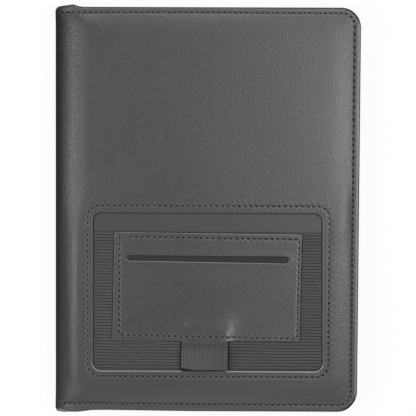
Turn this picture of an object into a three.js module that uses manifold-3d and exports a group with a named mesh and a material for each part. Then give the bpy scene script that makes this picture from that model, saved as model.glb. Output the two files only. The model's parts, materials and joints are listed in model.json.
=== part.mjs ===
// A5 document portfolio: a padded leatherette cover that folds round a soft spine and holds a writing pad.
// The front cover has a window with a ribbed elastic band, a card pocket and a pen loop.
// Millimetres. The portfolio lies closed on its back: +X runs from the spine to the free edge,
// +Y up the page, +Z out of the front cover. The origin is under the middle of the back cover.

import * as THREE from "three";
import { mergeVertices } from "three/addons/utils/BufferGeometryUtils.js";
import Module from "manifold-3d";

const wasm = await Module();
wasm.setup();

// The writing pad sets the size of the covers: an A5 pad with its margins
const padWidth = 148;
const padHeight = 210;
const gutterWidth = 19.5;
const foreEdgeMargin = 9.5;
const headMargin = 12.5;

// Thickness of each layer, and the air between two layers
const skinThickness = 0.9;
const boardThickness = 1.4;
const turnInThickness = 0.5;
const liningThickness = 0.5;
const backingThickness = 0.5;
const bandThickness = 0.6;
const pocketPanelThickness = 0.7;
const padBoardThickness = 0.8;
const sheetsThickness = 3.3;
const tapeThickness = 0.25;
const layerGap = 0.1;
const documentRoom = 4.4;

// Outline of a cover: a flat sewn flange, then a slope up to the padded crown
const freeCornerRadius = 12;
const hingeCornerRadius = 1.2;
const edgeRounding = 0.8;
const flangeWidth = 3.9;
const paddingSlope = 11;
const turnInWidth = 12;
const liningInset = 1.6;
const boardHingeMargin = 4;

// Soft spine: the roll of the leather at each fold
const rollRadius = 7;
const rollLand = 0.4;
const foldGap = 0.3;
const spineOverhang = 1;
const spineBoardThickness = 1.2;
const spineBoardInset = 3;

// Window in the front cover: crown left between its seam and the padded slope, and its corners
const sideLand = 1.6;
const footLand = 3.1;
const seamMargin = 5;
const windowRadius = 4.7;
const hemWidth = 4.5;

// Ribbed elastic band across the window
const bandRise = 1.9;
const bandTuck = 0.5;
const ribPitch = 1.78;
const ribDepth = 0.22;

// Card pocket sewn on the band, with a slot above the card
const bandSideWidth = 12.2;
const pocketDrop = 12.3;
const pocketCornerRadius = 0.8;
const pocketThickness = 0.9;
const slotBorder = 7.5;
const slotHeight = 4.7;
const slotDrop = 14.8;
const cardDepth = 48;

// Pen loop of folded elastic, with its two tails under the pocket
const loopWidth = 26.4;
const loopOffset = -2;
const loopDrop = 17;
const plyThickness = 0.6;
const penGap = 4.4;
const tailLength = 4.6;
const loopShoulder = 6;
const loopLipGap = 0.3;
const bulgeWall = 0.6;
const bulgeSpread = 5;

// Pockets inside the front cover
const panelInset = 2.6;
const panelHingeMargin = 10;
const documentPocketHeight = 159;
const thumbNotchRadius = 11;
const stripCount = 3;
const stripWidth = 96;
const stripHeight = 24;
const stripPitch = 15;
const stripTopDrop = 16;
const stripSideMargin = 8;

// Writing pad and the pocket that holds its back
const padPocketHeight = 55;
const padCornerRadius = 1.5;
const padRoom = 0.5;
const tapeDepth = 10;

// Size of a cover, and places along X and Y
const coverWidth = gutterWidth + padWidth + foreEdgeMargin;
const coverHeight = padHeight + 2 * headMargin;
const freeEdge = coverWidth / 2;
const spineFace = -coverWidth / 2;
const rollStart = spineFace + rollRadius;
const halfHeight = coverHeight / 2;
const padCentreX = spineFace + gutterWidth + padWidth / 2;

// Levels inside a cover, counted outwards from the inner face of its lining.
// The foam is as thick as the band and backing that take its place in the window.
const foamThickness = backingThickness + layerGap + bandThickness;
const turnInLevel = liningThickness + layerGap;
const boardLevel = turnInLevel + turnInThickness + layerGap;
const foamLevel = boardLevel + boardThickness + layerGap;
const edgeLevel = foamLevel + skinThickness;
const crownRise = foamThickness + layerGap;
const crownLevel = edgeLevel + crownRise;
const coverThickness = crownLevel;

// Levels of the pocket layers in the window
const backingLevel = foamLevel;
const bandLevel = backingLevel + backingThickness + layerGap;
const pocketLevel = bandLevel + bandThickness + layerGap;

// Levels of the writing pad, and the thickness of the closed portfolio
const padBoardZ = coverThickness + layerGap;
const padPocketZ = padBoardZ + padBoardThickness + layerGap;
const sheetsZ = padPocketZ + pocketPanelThickness + layerGap;
const sheetsTopZ = sheetsZ + sheetsThickness;
const tapeTopZ = sheetsTopZ + layerGap + tapeThickness;
const innerPocketDepth = 3 * (pocketPanelThickness + layerGap);
const closedThickness = tapeTopZ + documentRoom + innerPocketDepth + coverThickness;

// A fold line lies on the outer face of the leather, halfway round the roll
const foldInset = rollRadius * (1 - Math.SQRT1_2);
const spineStraight = closedThickness - 2 * (crownRise + rollRadius);
const liningRadius = rollRadius - skinThickness - spineBoardThickness - 2 * layerGap;

// Window, card pocket and band, from the foot of the cover up
const windowSideMargin = flangeWidth + paddingSlope + sideLand + seamMargin;
const windowBottom = -halfHeight + flangeWidth + paddingSlope + footLand + seamMargin;
const pocketBottom = windowBottom + loopDrop;
const pocketTop = pocketBottom + cardDepth + slotDrop;
const windowTop = pocketTop + pocketDrop;
const bandTop = pocketTop + bandRise;
const windowHalfWidth = coverWidth / 2 - windowSideMargin;
const pocketHalfWidth = windowHalfWidth - bandSideWidth;
const slotHalfLength = pocketHalfWidth - slotBorder;

// The slope beside the spine ends where the window's seam begins
const hingeSlope = windowSideMargin - seamMargin - rollRadius - rollLand - layerGap;

const colours = {
  leather: { color: 0x545454, roughness: 0.55, metalness: 0 },
  patchLeather: { color: 0x585858, roughness: 0.52, metalness: 0 },
  elastic: { color: 0x464646, roughness: 0.9, metalness: 0 },
  lining: { color: 0x2c2c2e, roughness: 0.75, metalness: 0 },
  board: { color: 0x9a948a, roughness: 0.95, metalness: 0 },
  foam: { color: 0xd8d8d4, roughness: 1, metalness: 0 },
  paper: { color: 0xf2f0e8, roughness: 0.9, metalness: 0 },
  tape: { color: 0x26282c, roughness: 0.6, metalness: 0 },
};

// Closed meshes and solids

function solidOf(geometry) {
  const bare = geometry.index ? geometry.toNonIndexed() : geometry.clone();
  bare.deleteAttribute("normal");
  bare.deleteAttribute("uv");
  const merged = mergeVertices(bare, 1e-4);
  return new wasm.Manifold(
    new wasm.Mesh({
      numProp: 3,
      vertProperties: merged.attributes.position.array,
      triVerts: new Uint32Array(merged.index.array),
    }),
  );
}

function geometryOf(solid) {
  const mesh = solid.getMesh();
  const points = new Float32Array(mesh.numVert * 3);
  for (let i = 0; i < mesh.numVert; i++) {
    points.set(mesh.vertProperties.subarray(i * mesh.numProp, i * mesh.numProp + 3), i * 3);
  }
  const geometry = new THREE.BufferGeometry();
  geometry.setAttribute("position", new THREE.BufferAttribute(points, 3));
  geometry.setIndex(new THREE.BufferAttribute(mesh.triVerts, 1));
  return geometry;
}

function named(name, geometry, colour) {
  const mesh = new THREE.Mesh(geometry, new THREE.MeshStandardMaterial(colour));
  mesh.name = name;
  return mesh;
}

// An outline from left to right and down to up, anticlockwise, with its own radius at each side
function outline(left, right, halfY, leftRadius, rightRadius, steps = 8) {
  const points = [];
  const corner = (x, y, radius, start) => {
    for (let i = 0; i <= steps; i++) {
      const angle = start + (i / steps) * (Math.PI / 2);
      points.push(new THREE.Vector2(x + radius * Math.cos(angle), y + radius * Math.sin(angle)));
    }
  };
  corner(right - rightRadius, -halfY + rightRadius, rightRadius, -Math.PI / 2);
  corner(right - rightRadius, halfY - rightRadius, rightRadius, 0);
  corner(left + leftRadius, halfY - leftRadius, leftRadius, Math.PI / 2);
  corner(left + leftRadius, -halfY + leftRadius, leftRadius, Math.PI);
  return points;
}

// A closed solid through a stack of convex outlines with equal numbers of points
function loft(rings) {
  const count = rings[0].points.length;
  const positions = [];
  const faces = [];
  for (const ring of rings) {
    for (const p of ring.points) positions.push(p.x, p.y, ring.level);
  }
  for (let r = 0; r < rings.length - 1; r++) {
    for (let i = 0; i < count; i++) {
      const j = (i + 1) % count;
      const low = r * count;
      const high = low + count;
      faces.push(low + i, low + j, high + j, low + i, high + j, high + i);
    }
  }
  const top = (rings.length - 1) * count;
  for (let i = 1; i < count - 1; i++) {
    faces.push(0, i + 1, i);
    faces.push(top, top + i, top + i + 1);
  }
  const geometry = new THREE.BufferGeometry();
  geometry.setAttribute("position", new THREE.BufferAttribute(new Float32Array(positions), 3));
  geometry.setIndex(faces);
  return geometry;
}

function lifted(points, x, y) {
  return points.map((p) => new THREE.Vector2(p.x + x, p.y + y));
}

function extruded(shape, depth) {
  return new THREE.ExtrudeGeometry(shape, { depth, bevelEnabled: false, curveSegments: 10 });
}

// A flat sheet of an outline in X and Y, between two levels
function sheet(points, low, high) {
  return extruded(new THREE.Shape(points), high - low).translate(0, 0, low);
}

// A section drawn in X and Z, run along Y between two ends
function runAlongY(shape, from, to) {
  return extruded(shape, to - from).rotateX(Math.PI / 2).translate(0, to, 0);
}

// A section drawn in Y and Z, run along X between two ends
function runAlongX(shape, from, to) {
  const cycle = new THREE.Matrix4().set(0, 0, 1, 0, 1, 0, 0, 0, 0, 1, 0, 0, 0, 0, 0, 1);
  return extruded(shape, to - from).applyMatrix4(cycle).translate(from, 0, 0);
}

// An outline of the cover drawn in by one inset at the free sides, with its hinge side at a given place
function coverOutline(inset, hingeX) {
  const radius = Math.max(freeCornerRadius - inset, 1);
  return outline(hingeX, freeEdge - inset, halfHeight - inset, hingeCornerRadius, radius);
}

// Rings of the padded face: from the flange up the slope to the flat crown
function paddedRings(offset, drop) {
  const steps = 5;
  const rings = [];
  for (let i = 0; i <= steps; i++) {
    const t = i / steps;
    rings.push({
      inset: flangeWidth + paddingSlope * t,
      hinge: rollLand + hingeSlope * t,
      level: edgeLevel + crownRise * Math.sin((t * Math.PI) / 2) ** 1.5,
    });
  }
  return rings.map((r) => ({
    points: coverOutline(r.inset + offset, rollStart + r.hinge + offset),
    level: r.level - drop,
  }));
}

// Leather of one cover: a padded face, a rounded edge and a turned-in border, open towards the spine
function coverSkin() {
  const straight = (inset, level) => ({ points: coverOutline(inset, rollStart), level });
  const outer = solidOf(
    loft([
      straight(0.4, turnInLevel),
      straight(0, turnInLevel + turnInThickness),
      straight(0, edgeLevel - edgeRounding),
      straight(edgeRounding * 0.3, edgeLevel - edgeRounding * 0.3),
      straight(edgeRounding, edgeLevel),
      ...paddedRings(0, 0),
    ]),
  );
  const inside = turnInLevel + turnInThickness;
  const edgeRoom = solidOf(sheet(coverOutline(skinThickness, spineFace), inside, foamLevel));
  const foot = { points: coverOutline(flangeWidth, rollStart + rollLand), level: inside };
  const crownRoom = solidOf(loft([foot, ...paddedRings(0.3, skinThickness)]));
  const opening = solidOf(sheet(coverOutline(turnInWidth, spineFace), 0, inside + layerGap));
  const joint = solidOf(sheet(coverOutline(skinThickness, spineFace), 0, inside + layerGap));
  const jointRoom = joint.trimByPlane([-1, 0, 0], -rollStart - boardHingeMargin);
  const cavity = edgeRoom.add(crownRoom).add(opening).add(jointRoom);
  return outer.subtract(cavity).add(solidOf(hingeRoll()));
}

// The stretch of leather that rolls from a cover towards its fold line
function hingeRoll() {
  const halfGap = foldGap / 2 / rollRadius;
  const centreLevel = edgeLevel - rollRadius;
  const innerRadius = rollRadius - skinThickness;
  const end = (3 * Math.PI) / 4 - halfGap;
  const lap = 0.6;
  const section = new THREE.Shape();
  section.moveTo(rollStart + lap, edgeLevel);
  section.lineTo(rollStart, edgeLevel);
  section.absarc(rollStart, centreLevel, rollRadius, Math.PI / 2, end, false);
  section.absarc(rollStart, centreLevel, innerRadius, end, Math.PI / 2, true);
  section.lineTo(rollStart + lap, edgeLevel - skinThickness);
  section.closePath();
  return runAlongY(section, -halfHeight, halfHeight);
}

// The window's outline drawn out by a margin, with its own corner radius
function windowOutline(margin, radius) {
  const halfX = windowHalfWidth + margin;
  const halfY = (windowTop - windowBottom) / 2 + margin;
  const middle = (windowTop + windowBottom) / 2;
  return lifted(outline(-halfX, halfX, halfY, radius, radius), 0, middle);
}

// Above the band the leather is turned in, so its hem rests on the backing
function frontSkin() {
  const hole = solidOf(sheet(windowOutline(0, windowRadius), foamLevel, crownLevel + 1));
  const hemBottom = bandTop + layerGap;
  const hemTop = crownLevel - skinThickness / 2;
  const hem = solidOf(sheet(windowOutline(hemWidth, windowRadius), bandLevel, hemTop));
  const above = hem.trimByPlane([0, 1, 0], hemBottom);
  return geometryOf(coverSkin().add(above).subtract(hole));
}

// The foam fills the crown, and stops short of what is sewn into the window
function coverFoam(hasWindow) {
  const rings = paddedRings(1, skinThickness + layerGap).filter((r) => r.level > foamLevel + 0.05);
  const foam = solidOf(loft([{ points: rings[0].points, level: foamLevel }, ...rings]));
  if (!hasWindow) return geometryOf(foam);
  const room = solidOf(sheet(windowOutline(seamMargin + layerGap, bandTuck), 0, crownLevel));
  return geometryOf(foam.subtract(room));
}

function coverBoard() {
  const inset = skinThickness + layerGap;
  return sheet(coverOutline(inset, rollStart + boardHingeMargin), boardLevel, boardLevel + boardThickness);
}

// The lining is flat under the board, then runs up past the board's edge and into the roll
function coverLining() {
  const boardEdge = rollStart + boardHingeMargin;
  const flat = solidOf(sheet(coverOutline(liningInset, boardEdge), 0, liningThickness));
  const halfGap = foldGap / 2 / liningRadius;
  const end = (3 * Math.PI) / 4 - halfGap;
  const centreLevel = edgeLevel - rollRadius;
  const innerRadius = liningRadius - liningThickness;
  const lap = 0.6;
  const section = new THREE.Shape();
  section.moveTo(boardEdge + lap, liningThickness);
  section.lineTo(boardEdge - layerGap, liningThickness);
  section.absarc(rollStart, centreLevel, liningRadius, Math.PI / 2, end, false);
  section.absarc(rollStart, centreLevel, innerRadius, end, Math.PI / 2, true);
  section.lineTo(boardEdge - layerGap, 0);
  section.lineTo(boardEdge + lap, 0);
  section.closePath();
  const reach = halfHeight - liningInset;
  return geometryOf(flat.add(solidOf(runAlongY(section, -reach, reach))));
}

// Window pocket: backing, elastic band, card pocket and pen loop

function pocketBacking() {
  return sheet(windowOutline(seamMargin, bandTuck), backingLevel, backingLevel + backingThickness);
}

// The band's section is a comb: one rounded rib after another down its face
function elasticBand() {
  const bottom = windowBottom - seamMargin + bandTuck;
  const crest = bandLevel + bandThickness;
  const count = Math.floor((bandTop - bottom) / ribPitch);
  const section = new THREE.Shape();
  section.moveTo(bottom, bandLevel);
  section.lineTo(bandTop, bandLevel);
  section.lineTo(bandTop, crest - ribDepth);
  for (let i = 0; i < count; i++) {
    const y = bandTop - i * ribPitch;
    section.lineTo(y - ribPitch * 0.3, crest);
    section.lineTo(y - ribPitch * 0.7, crest);
    section.lineTo(y - ribPitch, crest - ribDepth);
  }
  section.lineTo(bottom, crest - ribDepth);
  section.closePath();
  const half = windowHalfWidth + seamMargin - bandTuck;
  return runAlongX(section, -half, half);
}

// The leather bulges where the loop's tails pass under it
function tailBulge() {
  const rest = pocketLevel + pocketThickness;
  const rise = 2 * plyThickness + layerGap + bulgeWall - pocketThickness;
  const ring = (spread, level) => {
    const halfWidth = loopWidth / 2 + 1 + spread;
    const reach = tailLength + 1 + spread;
    const radius = 1 + spread / 2;
    const points = outline(-halfWidth, halfWidth, reach / 2, radius, radius, 4);
    return { points: lifted(points, loopOffset, pocketBottom + reach / 2), level };
  };
  return loft([
    ring(bulgeSpread, rest - pocketThickness / 2),
    ring(bulgeSpread, rest),
    ring(bulgeSpread * 0.4, rest + rise * 0.7),
    ring(0, rest + rise),
  ]);
}

function cardPocket() {
  const halfHeightOfPocket = (pocketTop - pocketBottom) / 2;
  const radius = pocketCornerRadius;
  const panel = outline(-pocketHalfWidth, pocketHalfWidth, halfHeightOfPocket, radius, radius, 3);
  const middle = (pocketTop + pocketBottom) / 2;
  const patch = solidOf(sheet(lifted(panel, 0, middle), pocketLevel, pocketLevel + pocketThickness));

  const room = loopWidth / 2 + layerGap;
  const reach = tailLength + layerGap;
  const tailRoom = outline(-room, room, reach, 0.1, 0.1, 1);
  const tailTop = pocketLevel + 2 * plyThickness + layerGap;
  const tails = solidOf(sheet(lifted(tailRoom, loopOffset, pocketBottom), pocketLevel - 1, tailTop));

  const slotEnd = slotHeight / 2;
  const slot = outline(-slotHalfLength, slotHalfLength, slotEnd, slotEnd, slotEnd, 6);
  const slotHole = solidOf(sheet(lifted(slot, 0, pocketTop - slotDrop), pocketLevel - 1, pocketLevel + 5));
  return geometryOf(patch.add(solidOf(tailBulge())).subtract(tails).subtract(slotHole));
}

// The loop's section is a teardrop: flat against the band, round at the fold, drawn in at the tails
function penLoop() {
  const back = pocketLevel;
  const front = back + 2 * plyThickness + penGap;
  const bottom = windowBottom + loopLipGap;
  const tailTop = back + 2 * plyThickness;
  const foldRadius = (front - back) / 2;
  const foldY = bottom + foldRadius;
  const foldZ = back + foldRadius;
  const mouth = pocketBottom - 2 * layerGap;

  const section = new THREE.Shape();
  section.moveTo(pocketBottom + tailLength, back);
  section.lineTo(pocketBottom + tailLength, tailTop);
  section.lineTo(mouth, tailTop);
  section.bezierCurveTo(
    mouth - loopShoulder * 0.35, tailTop,
    mouth - loopShoulder * 0.5, front,
    mouth - loopShoulder, front,
  );
  section.lineTo(foldY, front);
  section.absarc(foldY, foldZ, foldRadius, Math.PI / 2, (3 * Math.PI) / 2, false);
  section.closePath();

  const inner = foldRadius - plyThickness;
  const throat = mouth - 2 * plyThickness;
  const hole = new THREE.Path();
  hole.moveTo(throat, back + plyThickness);
  hole.bezierCurveTo(
    throat - loopShoulder * 0.35, back + plyThickness + 0.2,
    throat - loopShoulder * 0.45, front - plyThickness,
    throat - loopShoulder * 0.85, front - plyThickness,
  );
  hole.lineTo(foldY, front - plyThickness);
  hole.absarc(foldY, foldZ, inner, Math.PI / 2, (3 * Math.PI) / 2, false);
  hole.closePath();
  section.holes.push(hole);
  return runAlongX(section, loopOffset - loopWidth / 2, loopOffset + loopWidth / 2);
}

// Pockets inside the front cover, on the inner side of its lining

// Left, right and foot of a pocket panel inside a cover
const panelLeft = rollStart + panelHingeMargin;
const panelRight = freeEdge - panelInset;
const panelFoot = -halfHeight + panelInset;
const documentPocketTop = panelFoot + documentPocketHeight;

// A pocket panel with one rounded corner at the free edge, and a thumb notch if it has a radius
function panelShape(top, notchRadius) {
  const radius = freeCornerRadius - panelInset;
  const middle = (panelLeft + panelRight) / 2;
  const shape = new THREE.Shape();
  shape.moveTo(panelLeft, panelFoot);
  shape.lineTo(panelRight - radius, panelFoot);
  shape.absarc(panelRight - radius, panelFoot + radius, radius, -Math.PI / 2, 0, false);
  shape.lineTo(panelRight, top);
  if (notchRadius > 0) {
    shape.lineTo(middle + notchRadius, top);
    shape.absarc(middle, top, notchRadius, 0, Math.PI, true);
  }
  shape.lineTo(panelLeft, top);
  shape.closePath();
  return shape;
}

function documentPocket() {
  const shape = panelShape(documentPocketTop, thumbNotchRadius);
  return sheet(shape.getPoints(14), -layerGap - pocketPanelThickness, -layerGap);
}

// Each strip steps over the foot of the strip above it
function cardStrip(index) {
  const base = -2 * layerGap - pocketPanelThickness;
  const raised = base - pocketPanelThickness - layerGap;
  const top = documentPocketTop - stripTopDrop - (stripCount - 1 - index) * stripPitch;
  const foot = top - stripHeight;
  const jogTop = foot + stripPitch;
  const jogFoot = jogTop - 1.2;
  const section = new THREE.Shape();
  section.moveTo(foot, base);
  section.lineTo(foot, base - pocketPanelThickness);
  section.lineTo(jogFoot - 0.4, base - pocketPanelThickness);
  section.lineTo(jogTop - 0.4, raised - pocketPanelThickness);
  section.lineTo(top, raised - pocketPanelThickness);
  section.lineTo(top, raised);
  section.lineTo(jogTop - 0.2, raised);
  section.lineTo(jogFoot, base);
  section.closePath();
  const right = panelRight - stripSideMargin;
  return runAlongX(section, right - stripWidth, right);
}

// Soft spine: leather, stiffener and lining

// A layer of the spine that follows both rolls from fold to fold
function spineLayer(radius, thickness, halfLength) {
  const halfGap = foldGap / 2 / radius;
  const low = crownRise + rollRadius;
  const high = closedThickness - low;
  const inner = radius - thickness;
  const upperEnd = (3 * Math.PI) / 4 + halfGap;
  const lowerEnd = (5 * Math.PI) / 4 - halfGap;
  const section = new THREE.Shape();
  section.absarc(rollStart, high, radius, upperEnd, Math.PI, false);
  section.absarc(rollStart, low, radius, Math.PI, lowerEnd, false);
  section.absarc(rollStart, low, inner, lowerEnd, Math.PI, true);
  section.absarc(rollStart, high, inner, Math.PI, upperEnd, true);
  section.closePath();
  return runAlongY(section, -halfLength, halfLength);
}

function spineBoard() {
  const x = spineFace + skinThickness + layerGap;
  const low = (closedThickness - spineStraight) / 2;
  const points = [
    new THREE.Vector2(x, low),
    new THREE.Vector2(x + spineBoardThickness, low),
    new THREE.Vector2(x + spineBoardThickness, low + spineStraight),
    new THREE.Vector2(x, low + spineStraight),
  ];
  return runAlongY(new THREE.Shape(points), -halfHeight + spineBoardInset, halfHeight - spineBoardInset);
}

// Writing pad: it lies on the lining of the back cover, with its back tucked into the pad pocket

function padBoard() {
  const left = padCentreX - padWidth / 2;
  const points = outline(left, left + padWidth, padHeight / 2, padCornerRadius, padCornerRadius, 3);
  return sheet(points, padBoardZ, padBoardZ + padBoardThickness);
}

function padSheets() {
  const top = padHeight / 2;
  const step = panelFoot + padPocketHeight + 1;
  const section = new THREE.Shape();
  section.moveTo(-top, sheetsZ);
  section.lineTo(step, sheetsZ);
  section.lineTo(step + 1, padPocketZ);
  section.lineTo(top, padPocketZ);
  section.lineTo(top, sheetsTopZ);
  section.lineTo(-top, sheetsTopZ);
  section.closePath();
  return runAlongX(section, padCentreX - padWidth / 2, padCentreX + padWidth / 2);
}

// A cloth tape folds over the glued top edge of the pad
function padTape() {
  const top = padHeight / 2 + layerGap;
  const face = sheetsTopZ + layerGap;
  const section = new THREE.Shape();
  section.moveTo(top - tapeDepth, face);
  section.lineTo(top, face);
  section.lineTo(top, padBoardZ);
  section.lineTo(top + tapeThickness, padBoardZ);
  section.lineTo(top + tapeThickness, face + tapeThickness);
  section.lineTo(top - tapeDepth, face + tapeThickness);
  section.closePath();
  return runAlongX(section, padCentreX - padWidth / 2, padCentreX + padWidth / 2);
}

// The pocket's border goes down to the lining on both sides of the pad and under its foot
function padPocket() {
  const top = panelFoot + padPocketHeight;
  const points = panelShape(top, 0).getPoints(10);
  const whole = solidOf(sheet(points, coverThickness + layerGap, padPocketZ + pocketPanelThickness));
  const left = padCentreX - padWidth / 2 - padRoom;
  const right = padCentreX + padWidth / 2 + padRoom;
  const reach = padHeight / 2 + padRoom;
  const room = solidOf(sheet(outline(left, right, reach, 0.1, 0.1, 1), 0, padPocketZ));
  return geometryOf(whole.subtract(room));
}

// Assembly

const portfolio = new THREE.Group();

// The card pocket and the pen loop tilt together about the foot of the band
const cardHolder = new THREE.Group();
cardHolder.add(named("card_pocket", cardPocket(), colours.patchLeather));
cardHolder.add(named("pen_loop", penLoop(), colours.elastic));

const frontCover = new THREE.Group();
frontCover.position.z = closedThickness - coverThickness;
frontCover.add(named("front_skin", frontSkin(), colours.leather));
frontCover.add(named("front_foam", coverFoam(true), colours.foam));
frontCover.add(named("front_board", coverBoard(), colours.board));
frontCover.add(named("front_lining", coverLining(), colours.lining));
frontCover.add(named("pocket_backing", pocketBacking(), colours.leather));
frontCover.add(named("elastic_band", elasticBand(), colours.elastic));
frontCover.add(cardHolder);
frontCover.add(named("document_pocket", documentPocket(), colours.lining));
for (let i = 0; i < stripCount; i++) {
  frontCover.add(named(`card_strip_${i + 1}`, cardStrip(i), colours.lining));
}

const spineSkin = spineLayer(rollRadius, skinThickness, halfHeight + spineOverhang);
const spineLining = spineLayer(liningRadius, liningThickness, halfHeight - liningInset);
const spine = new THREE.Group();
spine.add(named("spine_skin", spineSkin, colours.leather));
spine.add(named("spine_board", spineBoard(), colours.board));
spine.add(named("spine_lining", spineLining, colours.lining));

const backCover = new THREE.Group();
backCover.rotation.x = Math.PI;
backCover.position.z = coverThickness;
backCover.add(named("back_skin", geometryOf(coverSkin()), colours.leather));
backCover.add(named("back_foam", coverFoam(false), colours.foam));
backCover.add(named("back_board", coverBoard(), colours.board));
backCover.add(named("back_lining", coverLining(), colours.lining));

const pad = new THREE.Group();
pad.add(named("pad_board", padBoard(), colours.board));
pad.add(named("pad_sheets", padSheets(), colours.paper));
pad.add(named("pad_tape", padTape(), colours.tape));

portfolio.add(frontCover, spine, backCover, pad);
portfolio.add(named("pad_pocket", padPocket(), colours.lining));

export default portfolio;
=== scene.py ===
import json
import math

import bpy
import numpy as np
from mathutils import Matrix, Vector
from mathutils.geometry import delaunay_2d_cdt


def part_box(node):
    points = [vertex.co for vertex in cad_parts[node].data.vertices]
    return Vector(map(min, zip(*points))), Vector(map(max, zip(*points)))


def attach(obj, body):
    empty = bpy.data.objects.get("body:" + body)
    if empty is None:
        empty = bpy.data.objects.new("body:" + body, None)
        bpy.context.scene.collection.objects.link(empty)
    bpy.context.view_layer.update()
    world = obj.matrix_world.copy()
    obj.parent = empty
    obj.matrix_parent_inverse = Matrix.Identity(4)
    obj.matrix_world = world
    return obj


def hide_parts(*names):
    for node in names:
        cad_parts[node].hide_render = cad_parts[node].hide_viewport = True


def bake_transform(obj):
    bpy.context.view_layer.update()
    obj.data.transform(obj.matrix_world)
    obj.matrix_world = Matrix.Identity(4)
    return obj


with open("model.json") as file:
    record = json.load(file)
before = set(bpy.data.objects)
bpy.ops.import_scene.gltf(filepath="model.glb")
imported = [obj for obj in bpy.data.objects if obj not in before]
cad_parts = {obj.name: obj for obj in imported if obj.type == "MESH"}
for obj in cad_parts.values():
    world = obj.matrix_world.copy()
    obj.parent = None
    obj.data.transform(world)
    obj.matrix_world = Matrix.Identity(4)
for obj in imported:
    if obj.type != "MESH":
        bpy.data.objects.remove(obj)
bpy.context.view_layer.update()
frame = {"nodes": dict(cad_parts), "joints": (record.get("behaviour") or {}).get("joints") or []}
joints = {j["name"]: j for j in frame["joints"]}
print("frame loaded")

# Every size below is in millimetres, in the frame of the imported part
mm = 0.001


def spanOf(node):
    low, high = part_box(node)
    return np.array(low) / mm, np.array(high) / mm


frontHigh = spanOf("front_skin")[1]
spineLow = spanOf("spine_skin")[0]
rollRadius = 7.0
foldX = joints["front_hinge"]["pos_m"][0] / mm
foldZ = joints["front_hinge"]["pos_m"][2] / mm
closed = {
    "spineX": spineLow[0],  # face of the spine
    "freeX": frontHigh[0],  # free edge
    "halfY": frontHigh[1],  # head and foot edges
    "thick": frontHigh[2],  # table to crown of the front cover
    "middle": frontHigh[2] / 2,
    "rollX": foldX + rollRadius * math.sqrt(0.5),
    "rollZ": foldZ - rollRadius * math.sqrt(0.5),
    "edgeZ": foldZ - rollRadius * math.sqrt(0.5) + rollRadius,
}
closed["crown"] = closed["thick"] - closed["edgeZ"]
closed["leatherX"] = closed["freeX"] + 0.3  # the turned edge stands out a little beyond the board


# Shader and geometry node graphs

class Wire:
    # one output socket; sums and products of wires add Math nodes
    def __init__(self, graph, socket):
        self.graph, self.socket = graph, socket

    def maths(self, operation, *others):
        values = {i: v for i, v in enumerate((self,) + others)}
        return self.graph.node("ShaderNodeMath", {"operation": operation}, values)

    def __add__(self, other):
        return self.maths("ADD", other)

    def __mul__(self, other):
        return self.maths("MULTIPLY", other)

    def __sub__(self, other):
        return self.maths("SUBTRACT", other)

    def __truediv__(self, other):
        return self.maths("DIVIDE", other)

    def __rsub__(self, other):
        return self.graph.node("ShaderNodeMath", {"operation": "SUBTRACT"}, {0: other, 1: self})

    def __rtruediv__(self, other):
        return self.graph.node("ShaderNodeMath", {"operation": "DIVIDE"}, {0: other, 1: self})

    __radd__ = __add__
    __rmul__ = __mul__

    def clamped(self):
        return self.graph.node("ShaderNodeClamp", {}, {"Value": self})


class Graph:
    def __init__(self, tree):
        self.tree = tree

    def node(self, kind, settings=None, values=None, output=0):
        made = self.tree.nodes.new(kind)
        for key, value in (settings or {}).items():
            if key == "stops":
                ramp = made.color_ramp
                while len(ramp.elements) < len(value):
                    ramp.elements.new(0.5)
                for element, (place, shade) in zip(ramp.elements, value):
                    element.position = place
                    element.color = (shade, shade, shade, 1)
            else:
                setattr(made, key, value)
        for key, value in (values or {}).items():
            self.feed(made.inputs[key], value)
        return Wire(self, made.outputs[output])

    def feed(self, socket, value):
        if isinstance(value, Wire):
            self.tree.links.new(value.socket, socket)
        else:
            socket.default_value = value

    def mixColour(self, share, low, high, blend="MIX"):
        settings = {"data_type": "RGBA", "blend_type": blend}
        return self.node("ShaderNodeMix", settings, {0: share, 6: low, 7: high}, 2)

    def vector(self, operation, first, second=None, scale=None):
        values = {0: first}
        if second is not None:
            values[1] = second
        if scale is not None:
            values["Scale"] = scale
        return self.node("ShaderNodeVectorMath", {"operation": operation}, values)

    def parts(self, place):
        # the three numbers of a vector
        split = self.tree.nodes.new("ShaderNodeSeparateXYZ")
        self.feed(split.inputs[0], place)
        return [Wire(self, socket) for socket in split.outputs]

    def even(self, level):
        return self.node("ShaderNodeCombineColor", {}, {0: level, 1: level, 2: level})

    def tinted(self, colour, tone):
        # a colour made lighter and darker by a tone that varies round 1
        return self.mixColour(1.0, colour, self.even(tone), "MULTIPLY")

    def noise(self, place, scale, detail=2.0, roughness=0.5):
        values = {"Vector": place, "Scale": scale, "Detail": detail, "Roughness": roughness}
        return self.node("ShaderNodeTexNoise", {}, values)

    def cells(self, place, scale, feature="F1"):
        return self.node("ShaderNodeTexVoronoi", {"feature": feature}, {"Vector": place, "Scale": scale})


def newLook(name, roughness, **fixed):
    # a material, its graph, its shader and the place on the piece in millimetres
    look = bpy.data.materials.new(name)
    look.use_nodes = True
    graph = Graph(look.node_tree)
    shader = look.node_tree.nodes["Principled BSDF"]
    shader.inputs["Roughness"].default_value = roughness
    for key, value in fixed.items():
        shader.inputs[key.replace("_", " ")].default_value = value
    here = graph.node("ShaderNodeTexCoord", {}, {}, "Object")
    place = graph.vector("SCALE", here, scale=1 / mm)
    return look, graph, shader, place


def coated(graph, shader, colour, height=None, depth=0.0):
    # the colour of a look, and the relief of its surface in millimetres
    graph.feed(shader.inputs["Base Color"], colour)
    if height is not None:
        values = {"Height": height, "Distance": depth * mm, "Strength": 1.0}
        graph.feed(shader.inputs["Normal"], graph.node("ShaderNodeBump", {}, values))


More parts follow.
